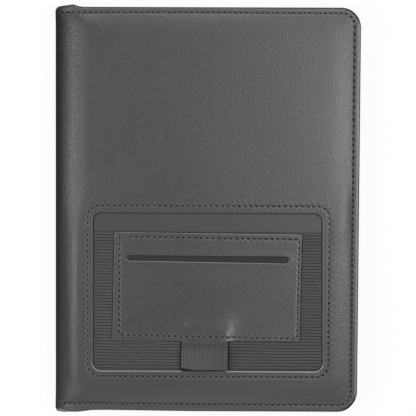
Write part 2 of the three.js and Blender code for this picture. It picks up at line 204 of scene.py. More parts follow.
def grey(level):
    # a neutral colour from its brightness as written, 0 to 255
    value = level / 255
    linear = value / 12.92 if value <= 0.04045 else ((value + 0.055) / 1.055) ** 2.4
    return (linear, linear, linear, 1)


leatherSizes = {
    "shade": 35,  # of the coating itself; the lamps' sheen adds to it
    "grain": 1.1,  # pebbles per millimetre
    "grainDepth": 0.12,
    "fine": 2.6,  # pores per millimetre
    "roughness": 0.385,
    "wornAndLitShare": 3.9,  # how much lighter the coating is where it is worn, and where a highlight is painted
}


def leatherLook(name, shade, grainShare=1.0, roughness=leatherSizes["roughness"]):
    look, graph, shader, place = newLook(name, roughness, IOR=1.6)
    waver = graph.node("ShaderNodeTexNoise", {}, {"Vector": place, "Scale": 0.6, "Detail": 2.0}, "Color")
    bent = graph.vector("ADD", place, graph.vector("SCALE", waver, scale=0.7))
    pebbles = graph.cells(bent, leatherSizes["grain"], "SMOOTH_F1")
    pores = graph.cells(bent, leatherSizes["fine"])
    cloud = graph.noise(place, 0.035, 3.0)
    mottle = graph.noise(place, 0.42, 4.0, 0.7)
    speckle = graph.noise(place, 1.3, 2.0, 0.6)
    # the attribute holds real edge wear together with painted highlights; where it is high the coating is
    # lighter and smoother
    wornAndLit = graph.node("ShaderNodeAttribute", {"attribute_name": "wear"}, {}, "Fac")
    base = graph.tinted(grey(shade), 0.3 + cloud * 0.15 + mottle * 0.65 + speckle * 0.6)
    rubbedAndHighlit = (wornAndLit * (0.7 + mottle * 0.5)).clamped()
    rough = roughness - 0.12 + cloud * 0.06 + mottle * 0.18 - rubbedAndHighlit * 0.12
    graph.feed(shader.inputs["Roughness"], rough)
    height = pebbles * 0.7 + pores * 0.3 + mottle * 0.35
    colour = graph.mixColour(rubbedAndHighlit, base, grey(shade * leatherSizes["wornAndLitShare"]))
    coated(graph, shader, colour, height, leatherSizes["grainDepth"] * grainShare)
    return look


def elasticLook(name, shade, across):
    # across is the axis along the ribs: the wefts cross them at right angles
    look, graph, shader, place = newLook(name, 0.78, IOR=1.45, Sheen_Weight=0.15, Sheen_Roughness=0.5)
    weftPitch, relief = 0.42, 0.06
    fuzz = graph.noise(place, 2.2, 4.0, 0.7)
    run = graph.parts(place)[across] + fuzz * 0.18
    weft = (run * (2 * math.pi / weftPitch)).maths("SINE") * 0.5 + 0.5
    patchy = graph.noise(place, 0.35, 2.0, 0.6)
    tone = 0.5 + weft * 0.2 + fuzz * 0.35 + patchy * 0.4
    coated(graph, shader, graph.tinted(grey(shade), tone), weft * 0.6 + fuzz * 0.6, relief)
    return look


def clothLook(name, colour, pitch, depth, roughness=0.85):
    # a plain weave: warp and weft cross at the pitch
    look, graph, shader, place = newLook(name, roughness, IOR=1.45, Sheen_Weight=0.2, Sheen_Roughness=0.5)
    warp, weft = ((way * (2 * math.pi / pitch)).maths("SINE") for way in graph.parts(place)[:2])
    weave = warp * weft * 0.5 + 0.5
    fuzz = graph.noise(place, 1.3, 4.0, 0.7)
    cloud = graph.noise(place, 0.05, 2.0)
    tone = 0.7 + weave * 0.15 + fuzz * 0.3 + cloud * 0.15
    coated(graph, shader, graph.tinted(colour, tone), weave * 0.6 + fuzz * 0.5, depth)
    return look


def threadLook(name, shade):
    look, graph, shader, place = newLook(name, 0.55, IOR=1.45)
    fibre = graph.noise(place, 6.0, 3.0, 0.7)
    coated(graph, shader, graph.mixColour(fibre, grey(shade * 0.75), grey(shade * 1.2)), fibre, 0.05)
    return look


# a near-black look that paints shade, in needle holes and beside raised edges
def darkShadeLook(name, shade):
    look, graph, shader, place = newLook(name, 0.95, IOR=1.3)
    dust = graph.noise(place, 4.0, 2.0)
    coated(graph, shader, graph.mixColour(dust, grey(shade * 0.7), grey(shade * 1.3)))
    return look


def paperLook(name, colour, lineColour, firstLine, linePitch, marginX):
    # paper with ruled lines and a margin line on its upper face
    look, graph, shader, place = newLook(name, 0.85, IOR=1.45)
    x, y, _ = graph.parts(place)
    lineWidth, marginHalf = 0.28, 0.16
    fibre = graph.noise(place, 0.9, 5.0, 0.7)
    cloud = graph.noise(place, 0.03, 2.0)
    phase = ((firstLine - y) / linePitch).maths("FRACT")
    onLine = (phase * linePitch).maths("LESS_THAN", lineWidth) * y.maths("LESS_THAN", firstLine + 0.1)
    onMargin = (x - marginX).maths("ABSOLUTE").maths("LESS_THAN", marginHalf)
    sheet = graph.tinted(colour, 0.93 + fibre * 0.08 + cloud * 0.04)
    ruled = (onLine + onMargin).clamped() * 0.75
    coated(graph, shader, graph.mixColour(ruled, sheet, lineColour), fibre, 0.02)
    return look


def boardLook(name, colour):
    look, graph, shader, place = newLook(name, 0.9, IOR=1.45)
    flecks = graph.noise(place, 1.1, 5.0, 0.75)
    coated(graph, shader, graph.tinted(colour, 0.8 + flecks * 0.4), flecks, 0.05)
    return look


looks = {
    "leather": leatherLook("coverLeatherLook", leatherSizes["shade"]),
    "patch": leatherLook("patchLeatherLook", leatherSizes["shade"] + 3, 0.7),
    "backing": leatherLook("backingLeatherLook", leatherSizes["shade"] - 10, 0.45, 0.5),
    "inner": leatherLook("innerLeatherLook", 52, 0.6, 0.55),
    "band": elasticLook("bandElasticLook", 65, 0),
    "loop": elasticLook("loopElasticLook", 72, 1),
    "lining": clothLook("liningClothLook", grey(45), 0.5, 0.05),
    "tape": clothLook("tapeClothLook", grey(38), 0.6, 0.08),
    # darker copies of the elastics for the plies between the ribs, which paint the shade in the grooves
    "groove": elasticLook("grooveShadeElasticLook", 28, 0),
    "loopGrooveShade": elasticLook("loopGrooveShadeElasticLook", 52, 1),
    "shaded": elasticLook("shadedElasticLook", 32, 0),
    "thread": threadLook("threadLook", 84),
    # near-black pits that paint the shade inside the needle holes
    "hole": darkShadeLook("needleHoleShadeLook", 16),
    # near-black strips that paint the shade beside raised edges
    "hem": darkShadeLook("paintedShadowLook", 30),
    "paper": paperLook("paperLook", (0.87, 0.85, 0.78, 1), (0.42, 0.5, 0.6, 1), 82.0, 7.1, -48.0),
    "board": boardLook("boardLook", (0.36, 0.33, 0.28, 1)),
}
print("looks made")


# Meshes

def makePiece(name, points, faces, *coats, wear=None, edges=()):
    mesh = bpy.data.meshes.new(name)
    mesh.from_pydata((np.asarray(points) * mm).tolist(), edges, [tuple(int(i) for i in f) for f in faces])
    for coat in coats:
        mesh.materials.append(coat)
    if wear is not None:
        layer = mesh.attributes.new("wear", "FLOAT", "POINT")
        layer.data.foreach_set("value", np.asarray(wear, np.float32))
    mesh.shade_smooth()
    piece = bpy.data.objects.new(name, mesh)
    bpy.context.scene.collection.objects.link(piece)
    return piece


def baked(piece):
    # the piece with its modifiers worked into its mesh
    result = bpy.data.meshes.new_from_object(piece.evaluated_get(bpy.context.evaluated_depsgraph_get()))
    piece.modifiers.clear()
    old, piece.data = piece.data, result
    bpy.data.meshes.remove(old)
    result.name = piece.name
    return piece


def thickened(piece, thickness, sharp=50):
    wall = piece.modifiers.new("wall", "SOLIDIFY")
    wall.thickness = thickness * mm
    wall.offset = -1
    baked(piece)
    piece.data.set_sharp_from_angle(angle=math.radians(sharp))
    return piece


def gridFaces(rows, columns):
    k = np.arange(rows * columns).reshape(rows, columns)
    return np.stack([k[:-1, :-1], k[:-1, 1:], k[1:, 1:], k[1:, :-1]], -1).reshape(-1, 4)


def gridPoints(low, high, columns, rows):
    # x and y of a grid between two corners
    xs, ys = np.linspace(low[0], high[0], columns), np.linspace(low[1], high[1], rows)
    return [g.ravel() for g in np.meshgrid(xs, ys)]


def boxCorners(low, high):
    return [(low[0], high[1]), (high[0], high[1]), (high[0], low[1]), (low[0], low[1])]


def widened(corners, by):
    # four corners, from the head on the left and round by the right, moved outwards
    signs = [(-1, 1), (1, 1), (1, -1), (-1, -1)]
    return [(x + by * sx, y + by * sy) for (x, y), (sx, sy) in zip(corners, signs)]


def smooth(t):
    t = np.clip(t, 0, 1)
    return t * t * (3 - 2 * t)


def waves(x, y, length, seed):
    # a gentle unevenness between about -1 and 1, of the given wavelength
    chance = np.random.default_rng(seed)
    total = 0
    for _ in range(6):
        turn, phase = chance.uniform(0, 2 * math.pi, 2)
        pull = 2 * math.pi / (length * chance.uniform(0.7, 1.6))
        total = total + np.sin(pull * (x * math.cos(turn) + y * math.sin(turn)) + phase)
    return total / 3.5


class Section:
    # a line in the XZ plane that a sheet follows; s is the distance along it
    def __init__(self, points):
        self.points = np.array(points, float)
        steps = np.linalg.norm(np.diff(self.points, axis=0), axis=1)
        self.along = np.concatenate([[0], np.cumsum(steps)])
        ahead = np.gradient(self.points, self.along, axis=0)
        ahead /= np.linalg.norm(ahead, axis=1)[:, None]
        self.normal = np.stack([-ahead[:, 1], ahead[:, 0]], 1)

    def xAt(self, s):
        return np.interp(s, self.along, self.points[:, 0])

    def sAt(self, x):
        return np.interp(x, self.points[:, 0], self.along)

    def place(self, s, y, rise):
        x, z = (np.interp(s, self.along, self.points[:, k]) for k in (0, 1))
        nx, nz = (np.interp(s, self.along, self.normal[:, k]) for k in (0, 1))
        over = np.maximum(s - self.along[-1], 0)
        return np.stack([x + nx * rise + over, y, z + nz * rise], 1)


class Track:
    # straights joined by round corners; a place on it is a part and a share of that part
    def __init__(self, corners, radii, closedLoop=False):
        corners = [np.array(c, float) for c in corners]
        self.closedLoop = closedLoop
        count = len(corners)
        bends = []
        for i, (corner, radius) in enumerate(zip(corners, radii)):
            if radius == 0:
                bends.append((corner, corner, None))
                continue
            back = corners[i - 1] - corner
            on = corners[(i + 1) % count] - corner
            back, on = back / np.linalg.norm(back), on / np.linalg.norm(on)
            half = math.acos(float(np.clip(back @ on, -1, 1))) / 2
            reach = radius / math.tan(half)
            middle = (back + on) / np.linalg.norm(back + on)
            centre = corner + middle * radius / math.sin(half)
            bends.append((corner + back * reach, corner + on * reach, centre))
        self.parts = []
        for i in range(count):
            start, end, centre = bends[i]
            if centre is not None:
                first = math.atan2(*(start - centre)[::-1])
                turn = math.atan2(*(end - centre)[::-1]) - first
                turn = (turn + math.pi) % (2 * math.pi) - math.pi
                self.parts.append(("bend", centre, np.linalg.norm(start - centre), first, turn))
            if closedLoop or i < count - 1:
                self.parts.append(("line", end, bends[(i + 1) % count][0]))
        self.lengths = np.array([
            abs(p[2] * p[4]) if p[0] == "bend" else np.linalg.norm(p[2] - p[1]) for p in self.parts])
        self.pace = np.ones((len(self.parts), 2))  # relative length of a step at each part's start and end

    def evenly(self, step, multiple=1):
        first, last = self.pace.T
        change = np.where(np.abs(last - first) < 1e-6, 1e-6, last - first)
        counted = self.lengths * np.log(1 + change / first) / change
        total = counted.sum()
        count = max(multiple, multiple * round(total / step / multiple))
        along = np.linspace(0, total, count + 1)
        along = along[:-1] if self.closedLoop else along
        ends = np.cumsum(counted)
        part = np.minimum(np.searchsorted(ends, along, side="right"), len(ends) - 1)
        within = along - (ends - counted)[part]
        share = first[part] * (np.exp(within * change[part] / self.lengths[part]) - 1) / change[part]
        return part, np.clip(share, 0, 1), along

    def at(self, part, share):
        spots = np.zeros((len(part), 2))
        for k, piece in enumerate(self.parts):
            here = part == k
            t = share[here][:, None]
            if piece[0] == "line":
                spots[here] = piece[1] * (1 - t) + piece[2] * t
            else:
                angle = piece[3] + piece[4] * t[:, 0]
                spots[here] = piece[1] + piece[2] * np.stack([np.cos(angle), np.sin(angle)], 1)
        return spots


def leftOf(track, part, share):
    # direction to the left of the way along a track
    arrows = np.zeros((len(part), 2))
    for k, piece in enumerate(track.parts):
        here = part == k
        if piece[0] == "line":
            run = (piece[2] - piece[1]) / max(np.linalg.norm(piece[2] - piece[1]), 1e-9)
            arrows[here] = (-run[1], run[0])
        else:
            angle = piece[3] + piece[4] * share[here]
            arrows[here] = -np.sign(piece[4]) * np.stack([np.cos(angle), np.sin(angle)], 1)
    return arrows


def between(tracks, mix, part, share):
    # a line that runs between two of the tracks: 0 is the first, 1 the second, 2 the third
    low = min(int(mix), len(tracks) - 2) if mix >= 0 else 0
    first, second = tracks[low].at(part, share), tracks[low + 1].at(part, share)
    return first + (second - first) * (mix - low)


def hexGrid(low, high, step):
    spots = []
    for i, y in enumerate(np.arange(low[1], high[1], step * 0.866)):
        row = np.arange(low[0] + (i % 2) * step / 2, high[0], step)
        spots.append(np.stack([row, np.full(len(row), y)], 1))
    return np.concatenate(spots)


def spineGrid(reach, step, low, high):
    # close columns of points over the roll at the spine
    columns, rows = np.arange(step, reach, step), np.arange(low, high, 2.3)
    return np.stack(np.meshgrid(columns, rows), 2).reshape(-1, 2)


def roomFor(spots, outline, room):
    # the spots that lie inside an outline and clear of its points
    return spots[insideTrack(spots, outline) & (away(spots, outline) > room)]


def insideTrack(spots, outline):
    # which spots lie inside a closed outline of points
    x, y = spots[:, 0], spots[:, 1]
    result = np.zeros(len(spots), bool)
    ax, ay = outline[:, 0], outline[:, 1]
    bx, by = np.roll(ax, -1), np.roll(ay, -1)
    for x1, y1, x2, y2 in zip(ax, ay, bx, by):
        if y1 == y2:
            continue
        crosses = (y1 > y) != (y2 > y)
        result ^= crosses & (x < (x2 - x1) * (y - y1) / (y2 - y1) + x1)
    return result


def away(spots, outline):
    # distance from each spot to the nearest of the outline's points
    nearest = np.full(len(spots), 1e9)
    for start in range(0, len(outline), 64):
        block = outline[start:start + 64]
        d = np.linalg.norm(spots[:, None, :] - block[None, :, :], axis=2).min(1)
        nearest = np.minimum(nearest, d)
    return nearest


def turnedOver(points):
    # the same sheet on the back cover
    points[:, 2] = closed["thick"] - points[:, 2]


class Plan:
    # a sheet laid flat: its points, its faces and what is known at each point
    def __init__(self):
        self.spots, self.faces, self.facts, self.count = [], [], [], 0

    def add(self, spots, drop=0.0, along=np.nan, across=np.nan, kind=0):
        # drop is how far below the face the point lies; along and across place it by its seam
        count = len(spots)
        known = (drop, along, across, kind)
        facts = np.stack([np.broadcast_to(np.asarray(v, float), (count,)) for v in known], 1)
        self.spots.append(np.asarray(spots, float))
        self.facts.append(facts)
        self.count += count
        return np.arange(self.count - count, self.count)

    def weave(self, rings, closedLoop):
        # faces between neighbouring rings, turned so that they look up
        strips = []
        for a, b in zip(rings[:-1], rings[1:]):
            i = np.arange(len(a) if closedLoop else len(a) - 1)
            j = (i + 1) % len(a)
            strips.append(np.stack([a[i], a[j], b[j], b[i]], 1))
        faces = np.concatenate(strips)
        self.faces += self.upright(faces)

    def upright(self, faces):
        p = np.concatenate(self.spots)[faces]
        nextOne = np.roll(p, -1, axis=1)
        areas = (p[:, :, 0] * nextOne[:, :, 1] - nextOne[:, :, 0] * p[:, :, 1]).sum(1)
        return (faces if areas.sum() > 0 else faces[:, ::-1]).tolist()

    def fill(self, borders, spots, kept):
        # triangles between the borders, through the given spots; kept says which of them belong
        inner = self.add(spots)
        used = np.concatenate([np.concatenate(borders), inner])
        everyone = np.concatenate(self.spots)
        index = {int(v): k for k, v in enumerate(used)}
        edges = []
        for border in borders:
            ring = [index[int(v)] for v in border]
            edges += list(zip(ring, ring[1:] + ring[:1]))
        flat = [Vector(xy) for xy in everyone[used]]
        _, _, triangles, origin, _, _ = delaunay_2d_cdt(flat, edges, [], 0, 1e-7)
        corners = np.array([[used[origin[v][0]] for v in t] for t in triangles])
        centres = everyone[corners].mean(1)
        corners = corners[kept(centres)]
        p = everyone[corners]
        area = np.cross(p[:, 1] - p[:, 0], p[:, 2] - p[:, 0])
        corners = corners[np.abs(area) > 1e-9]
        area = area[np.abs(area) > 1e-9]
        corners[area < 0] = corners[area < 0][:, ::-1]
        self.faces += corners.tolist()

    def done(self):
        facts = np.concatenate(self.facts)
        return np.concatenate(self.spots), facts[:, 0], facts[:, 1], facts[:, 2], facts[:, 3]


def quarterRound(radius, steps):
    # how far in and how far down the points of a rounded edge lie
    angles = np.linspace(math.pi / 2, 0, steps)
    return [(radius * (1 - math.sin(a)), radius * (1 - math.cos(a))) for a in angles]


def ringsOf(plan, tracks, part, share, along, places, kind=0, closedLoop=True):
    # one ring for each place: its mix of the tracks, its drop and how far it lies across the seam
    rings = []
    for mix, drop, across in places:
        onSeam = (np.nan, np.nan) if across is None else (along, across)
        rings.append(plan.add(between(tracks, mix, part, share), drop, *onSeam, kind))
    plan.weave(rings, closedLoop)
    return rings[-1]


def closedAtSpine(plan, ring, count):
    # a ring from the foot of the spine round to its head, closed by points along the spine
    line = np.concatenate(plan.spots)[ring]
    y = np.linspace(line[-1][1], line[0][1], count + 2)[1:-1]
    return np.concatenate([ring, plan.add(np.stack([np.zeros(count), y], 1))])


def upOrDown(count, way):
    return np.tile([0.0, 0.0, way], (count, 1))


# The leather of the covers

shape = {
    "skin": 0.5,  # thickness of the leather
    "shoulder": 13.0,  # how far the roll reaches over the cover
    "shoulderPower": 2.1,  # 2 is an ellipse, more is squarer
    "spineBow": 0.38,  # how far the padded spine stands out over its board
    "cornerRadii": (11.4, 11.3),  # foot, head
    "seamRadius": 7.2,
    "seamRight": 3.7,
    "seamHead": 3.2,
    "seamFoot": 3.7,
    "innerBy": 5.5,  # from the seam to where the wide triangles begin
    "edgeRadius": 1.6,
    "turnRadius": 0.8,
    "turnIn": 6.0,
    "wall": 2.95,  # height of the edge of a cover
    "spineWall": 1.75,
    "wallGrows": (-86.0, 9.0),  # where the edge grows higher along the cover, and over how far
    "padSlope": 20.0,  # how far the padding takes to reach its full height
    "padPower": 2.8,
    "padLeft": (-85.0, -69.0),
    "padNearSpine": (0.4, -78.0, 30.0),  # share of the slope at the spine, and where it grows to the whole
    "besideWindow": {"head": 12.0, "headFade": 24.0, "foot": -106.0, "footFade": 10.0, "nearer": 5.0,
                     "slope": 0.95, "steeper": 0.27},  # the padding beside the window
    "stitch": 3.4,
    # relative length of the stitches along the foot, corner, free edge, corner and head
    "pace": [(0.88, 1.04), (1.0, 0.9), (0.9, 1.16), (1.0, 0.85), (0.88, 1.0)],
    "dip": 0.08,  # how deep a seam draws the leather in
    "dipWidth": (0.4, 0.5),  # towards the edge, towards the padding
    "hole": 0.34,
    "holeWidth": 0.65,
    "pucker": 0.07,
    "puckerAt": (1.2, 0.7),  # from the seam, width
    "rubbedAndHighlit": {"share": 0.24, "inside": 0.35, "at": 0.95, "width": 0.4},  # the painted highlight round each hole
    "uneven": 0.07,
    "bumps": [(77.5, -11.5, 0.22), (80.5, 3.5, 0.28)],  # soft swellings beside the window: x, y, height
    "bumpSize": (4.5, 9.0),
    "rightWearAndHighlight": {"share": 1.0, "at": 0.85, "width": 0.5},  # wear and a painted highlight along the rounding of the free edge, which faces the right lamp
    "endsWearAndHighlight": {"share": 0.2, "width": 1.3},  # and weaker wear and painted highlight along the head and foot
}
windowShape = {
    "lip": [(-66.3, -1.8), (67.4, -1.7), (68.3, -93.7), (-66.2, -94.3)],
    "lipRadius": 4.7,
    "seam": [(-69.3, 2.6), (71.5, 2.7), (71.5, -97.4), (-69.2, -97.7)],
    "seamRadius": 7.2,
    "outBy": 3.6,
    "stitch": 3.3,
    "edgeRadius": 0.7,
    "ease": 0.15,  # how far the padding gives beside the window
    "easeOver": 6.0,
    "bandTop": -12.8,
    "wornAndLit": {"loop": 0.1, "loopHalf": 13.2, "foot": 1.0, "footBelow": -90, "head": 0.15, "headAbove": -4,
             "left": 0.45, "right": 0.35},  # painted highlight on the lip's edge by the side it faces, strongest at the foot facing the head lamp, left out where the loop shades it
}
bandTopZ = spanOf("elastic_band")[1][2]
backingTopZ = spanOf("pocket_backing")[1][2]


def outerSection():
    # from the middle of the spine over the roll to the free edge
    c, p = closed, shape["shoulderPower"]
    endX = c["spineX"] + shape["shoulder"]
    reach = shape["shoulder"] + shape["spineBow"]
    angle = np.linspace(0, math.pi / 2, 60)
    roll = np.stack([endX - reach * np.cos(angle) ** (2 / p),
                     c["rollZ"] + (c["edgeZ"] - c["rollZ"]) * np.sin(angle) ** (2 / p)], 1)
    flat = np.linspace(endX, c["leatherX"], 60)[1:]
    straight = np.linspace(c["middle"], c["rollZ"], 6)[:-1]
    return Section(np.concatenate([
        np.stack([np.full(len(straight), c["spineX"] - shape["spineBow"]), straight], 1), roll,
        np.stack([flat, np.full(len(flat), c["edgeZ"])], 1)]))


outer = outerSection()
freeS = outer.along[-1]


def padRise(s, y, hasWindow=True):
    # height of the padded face over the edge of the cover; the window's seam draws it flatter beside it
    half = closed["halfY"]

    def ramp(d, reach):
        return 1 - (1 - np.clip(d / reach, 0, 1)) ** shape["padPower"]

    x = outer.xAt(s)
    w = shape["besideWindow"]
    beside = smooth((w["head"] - y) / w["headFade"]) * smooth((y - w["foot"]) / w["footFade"]) * hasWindow
    low, high = shape["padLeft"]
    left = smooth((x - low) / (high - low - w["nearer"] * beside))
    least, begin, over = shape["padNearSpine"]
    reach = shape["padSlope"] * (least + (1 - least) * smooth((x - begin) / over))
    right = ramp(freeS - shape["seamRight"] - s, shape["padSlope"] * (w["slope"] - w["steeper"] * beside))
    head = ramp(half - shape["seamHead"] - y, reach)
    foot = ramp(half - shape["seamFoot"] + y, reach)
    return closed["crown"] * left * right * head * foot


def seamRelief(along, across, pitch):
    # what a seam does to the leather: a groove, needle holes and the puckers between them
    has = ~np.isnan(across)
    a, c = np.where(has, along, 0), np.where(has, across, 99)
    phase = 2 * math.pi * a / pitch
    groove = -shape["dip"] * np.exp(-(c / np.where(c < 0, *shape["dipWidth"])) ** 2)
    atHole = np.clip(np.cos(phase), 0, 1) ** 2
    holes = -shape["hole"] * atHole * np.exp(-(c / shape["holeWidth"]) ** 2)
    middle, width = shape["puckerAt"]
    puckers = shape["pucker"] * np.cos(phase) * np.exp(-((np.abs(c) - middle) / width) ** 2)
    return np.where(has, groove + holes + puckers, 0)


def paintedHalo(along, across, pitch):
    # a highlight painted round each needle hole, where the drawn-up leather catches the light; stronger on
    # the padding side
    has = ~np.isnan(across)
    a, c = np.where(has, along, 0), np.where(has, across, 99)
    r = shape["rubbedAndHighlit"]
    near = np.clip(np.cos(2 * math.pi * a / pitch), 0, 1) * np.where(c > 0, 1.0, r["inside"])
    return np.where(has, r["share"] * near * np.exp(-((np.abs(c) - r["at"]) / r["width"]) ** 2), 0)


edgeLine = {
    # how far the head and foot stand out beyond the board, along the cover from the spine
    "headAt": [-89.0, -87.0, -82.0, -78.2, -75.0, -72.0],
    "head": [-0.5, 0.4, 1.05, 1.68, 0.6, 0.17],
    "footAt": [-89.0, -84.4, -76.3, -71.7, -67.0, -58.0, -12.0, 35.0, 90.0],
    "foot": [1.7, 1.95, 1.9, 1.45, 0.78, 0.6, 0.86, 0.64, 0.4],
    "fade": 5.0,
    "flare": 0.15,  # how far the ends of the spine stand out
    "flareAlong": 12.0,
    "flareTo": (-87.0, 4.0),
}


def bulged(s, y):
    # the leather stands out a little beyond the boards, most where it is folded in at the spine
    e = edgeLine
    x = outer.xAt(s)
    near = smooth((np.abs(y) - closed["halfY"] + e["fade"]) / e["fade"])
    out = np.where(y > 0, np.interp(x, e["headAt"], e["head"]), -np.interp(x, e["footAt"], e["foot"]))
    return y + out * near


def flared(s, y):
    e = edgeLine
    begin, over = e["flareTo"]
    ends = smooth((np.abs(y) - closed["halfY"] + e["flareAlong"]) / e["flareAlong"])
    return e["flare"] * ends * (1 - smooth((outer.xAt(s) - begin) / over))


def coverPlan(hasWindow):
    half = closed["halfY"]
    sh = shape

    def rim(right, head, foot, radii):
        return Track([(0, -half + foot), (freeS - right, -half + foot), (freeS - right, half - head),
                      (0, half - head)], [0, radii[0], radii[1], 0])

    by = sh["innerBy"]
    tracks = [rim(0, 0, 0, sh["cornerRadii"]),
              rim(sh["seamRight"], sh["seamHead"], sh["seamFoot"], [sh["seamRadius"]] * 2),
              rim(sh["seamRight"] + by, sh["seamHead"] + by, sh["seamFoot"] + by, (4, 4))]
    tracks[1].pace = np.array(sh["pace"])
    part, share, along = tracks[1].evenly(sh["stitch"] / 4, 4)
    pitch = along[-1] / (len(along) - 1) * 4
    plan = Plan()
    inset = 3.8  # usual distance from the edge to the seam
    s = tracks[0].at(part, share)[:, 0]
    begin, over = sh["wallGrows"]
    wall = sh["spineWall"] + (sh["wall"] - sh["spineWall"]) * smooth((outer.xAt(s) - begin) / over)
    places = [(reach / inset, wall, None) for reach in (sh["turnIn"], 3.0, 1.6)]
    places += [(reach / inset, wall - drop, None) for reach, drop in quarterRound(sh["turnRadius"], 4)[::-1]]
    places += [(reach / inset, drop, None) for reach, drop in quarterRound(sh["edgeRadius"], 6)]
    places += [(mix, 0, (mix - 1) * inset) for mix in (0.46, 0.58, 0.7, 0.8, 0.89, 0.95, 1.0)]
    places += [(1 + step / by, 0, step) for step in (0.22, 0.45, 0.75, 1.1, 1.6, 2.3, 3.2, 4.3, by)]
    innerRing = ringsOf(plan, tracks, part, share, along, places, kind=1, closedLoop=False)
    seamSide = np.concatenate(plan.spots)[innerRing]
    low, high = seamSide[0], seamSide[-1]
    borders = [closedAtSpine(plan, innerRing, 90)]
    outline = np.concatenate(plan.spots)[borders[0]]
    if hasWindow:
        borders.append(windowRings(plan))
        windowOutline = np.concatenate(plan.spots)[borders[1]]
    step, room = 2.3, 0.9
    shoulderS = outer.sAt(closed["spineX"] + sh["shoulder"]) + 5
    spots = np.concatenate([spineGrid(shoulderS, 0.8, low[1] + 1.3, high[1] - 1),
                            hexGrid((shoulderS + 0.8, low[1]), (freeS - 9, high[1]), step)])
    spots = spots[insideTrack(spots, outline) & (away(spots, seamSide) > room)]
    if hasWindow:
        spots = spots[~insideTrack(spots, windowOutline) & (away(spots, windowOutline) > room)]

    def kept(centres):
        inside = insideTrack(centres, outline)
        return inside & ~insideTrack(centres, windowOutline) if hasWindow else inside

    plan.fill(borders, spots, kept)
    return plan, pitch, tracks[1]


def windowTracks():
    w = windowShape
    lip, seam = ([(x + outer.sAt(0.0), y) for x, y in w[line]] for line in ("lip", "seam"))
    return [Track(lip, [w["lipRadius"]] * 4, True), Track(seam, [w["seamRadius"]] * 4, True),
            Track(widened(seam, w["outBy"]), [w["seamRadius"] + w["outBy"]] * 4, True)]


def underLip(y):
    # what the window's lip lies on: the backing at the head, and below it the band
    return np.where(y > windowShape["bandTop"] + 0.6, backingTopZ, bandTopZ)


def windowRings(plan):
    # rings round the window, from the foot of its lip outwards; gives back the last one
    w = windowShape
    tracks = windowTracks()
    part, share, along = tracks[1].evenly(w["stitch"] / 4, 4)
    lip = tracks[0].at(part, share)
    gap = 3.6  # usual distance from the lip to the seam
    top = closed["edgeZ"] + padRise(lip[:, 0], lip[:, 1]) - w["ease"]
    depth = top - underLip(lip[:, 1]) - 0.03
    places = [(0, depth, None), (0, (depth + w["edgeRadius"]) / 2, None)]
    places += [(reach / gap, drop, None) for reach, drop in quarterRound(w["edgeRadius"], 6)]
    places += [(mix, 0, (mix - 1) * gap) for mix in (0.32, 0.45, 0.58, 0.7, 0.8, 0.89, 0.95, 1.0)]
    places += [(1 + step / w["outBy"], 0, step) for step in (0.22, 0.45, 0.75, 1.1, 1.6, 2.4, w["outBy"])]
    return ringsOf(plan, tracks, part, share, along, places, kind=2)


def windowEase(spots):
    w = windowShape
    tracks = windowTracks()
    part, share, _ = tracks[1].evenly(w["stitch"] / 4, 4)
    return w["ease"] * (1 - smooth(away(spots, tracks[0].at(part, share)) / w["easeOver"]))


def coverLeather(name, hasWindow):
    plan, pitch, seamTrack = coverPlan(hasWindow)
    spots, drop, along, across, kind = plan.done()
    s, y = spots[:, 0], spots[:, 1]
    rise = padRise(s, y, hasWindow)
    if hasWindow:
        track = windowTracks()[1]
        windowPitch = track.lengths.sum() / len(track.evenly(windowShape["stitch"] / 4, 4)[2]) * 4
        rise = rise - windowEase(spots) * (kind != 1)
        rise = rise + np.where(kind == 2, seamRelief(along, across, windowPitch), 0)
    rise = rise + np.where(kind == 1, seamRelief(along, across, pitch), 0)
    rise = rise + shape["uneven"] * waves(s, y, 55, 4 if hasWindow else 9) * smooth(rise / 0.8)
    if hasWindow:
        clear = smooth((freeS - shape["seamRight"] - s) / 4)
        wide, high = shape["bumpSize"]
        for bumpX, bumpY, bump in shape["bumps"]:
            off = ((outer.xAt(s) - bumpX) / wide) ** 2 + ((y - bumpY) / high) ** 2
            rise = rise + bump * clear * np.exp(-off)
    points = outer.place(s, bulged(s, y), rise - drop + flared(s, y))
    faces = plan.faces
    # wear and painted highlight along the edges, strongest along the free edge
    right, ends = shape["rightWearAndHighlight"], shape["endsWearAndHighlight"]
    edge = (right["share"] * (drop < 0.5) * np.exp(-((freeS - s - right["at"]) / right["width"]) ** 2)
            + ends["share"] * np.exp(-((closed["halfY"] - np.abs(y)) / ends["width"]) ** 2))
    wear = edge + paintedHalo(along, across, pitch) * (kind == 1)
    # painted highlight along the lip's edge, by the side it faces, with none where the loop shades the lip
    if hasWindow:
        x, wornAndLit = outer.xAt(s), windowShape["wornAndLit"]
        side = np.where(x < 0, wornAndLit["left"], wornAndLit["right"])
        side = np.where(y > wornAndLit["headAbove"], wornAndLit["head"], side)
        foot = np.where(np.abs(x + 0.7) < wornAndLit["loopHalf"], wornAndLit["loop"], wornAndLit["foot"])
        side = np.where(y < wornAndLit["footBelow"], foot, side)
        wear += (kind == 2) * ((drop > 0) * side + paintedHalo(along, across, windowPitch))
    wear = np.clip(wear, 0, 1)
    if not hasWindow:
        turnedOver(points)
        faces = [f[::-1] for f in faces]
    piece = makePiece(name, points, faces, looks["leather"], wear=wear)
    return thickened(piece, shape["skin"]), seamTrack


frontLeather, coverSeamTrack = coverLeather("frontLeather", True)
print("front leather", len(frontLeather.data.vertices), "points")
backLeather, _ = coverLeather("backLeather", False)
print("back leather", len(backLeather.data.vertices), "points")

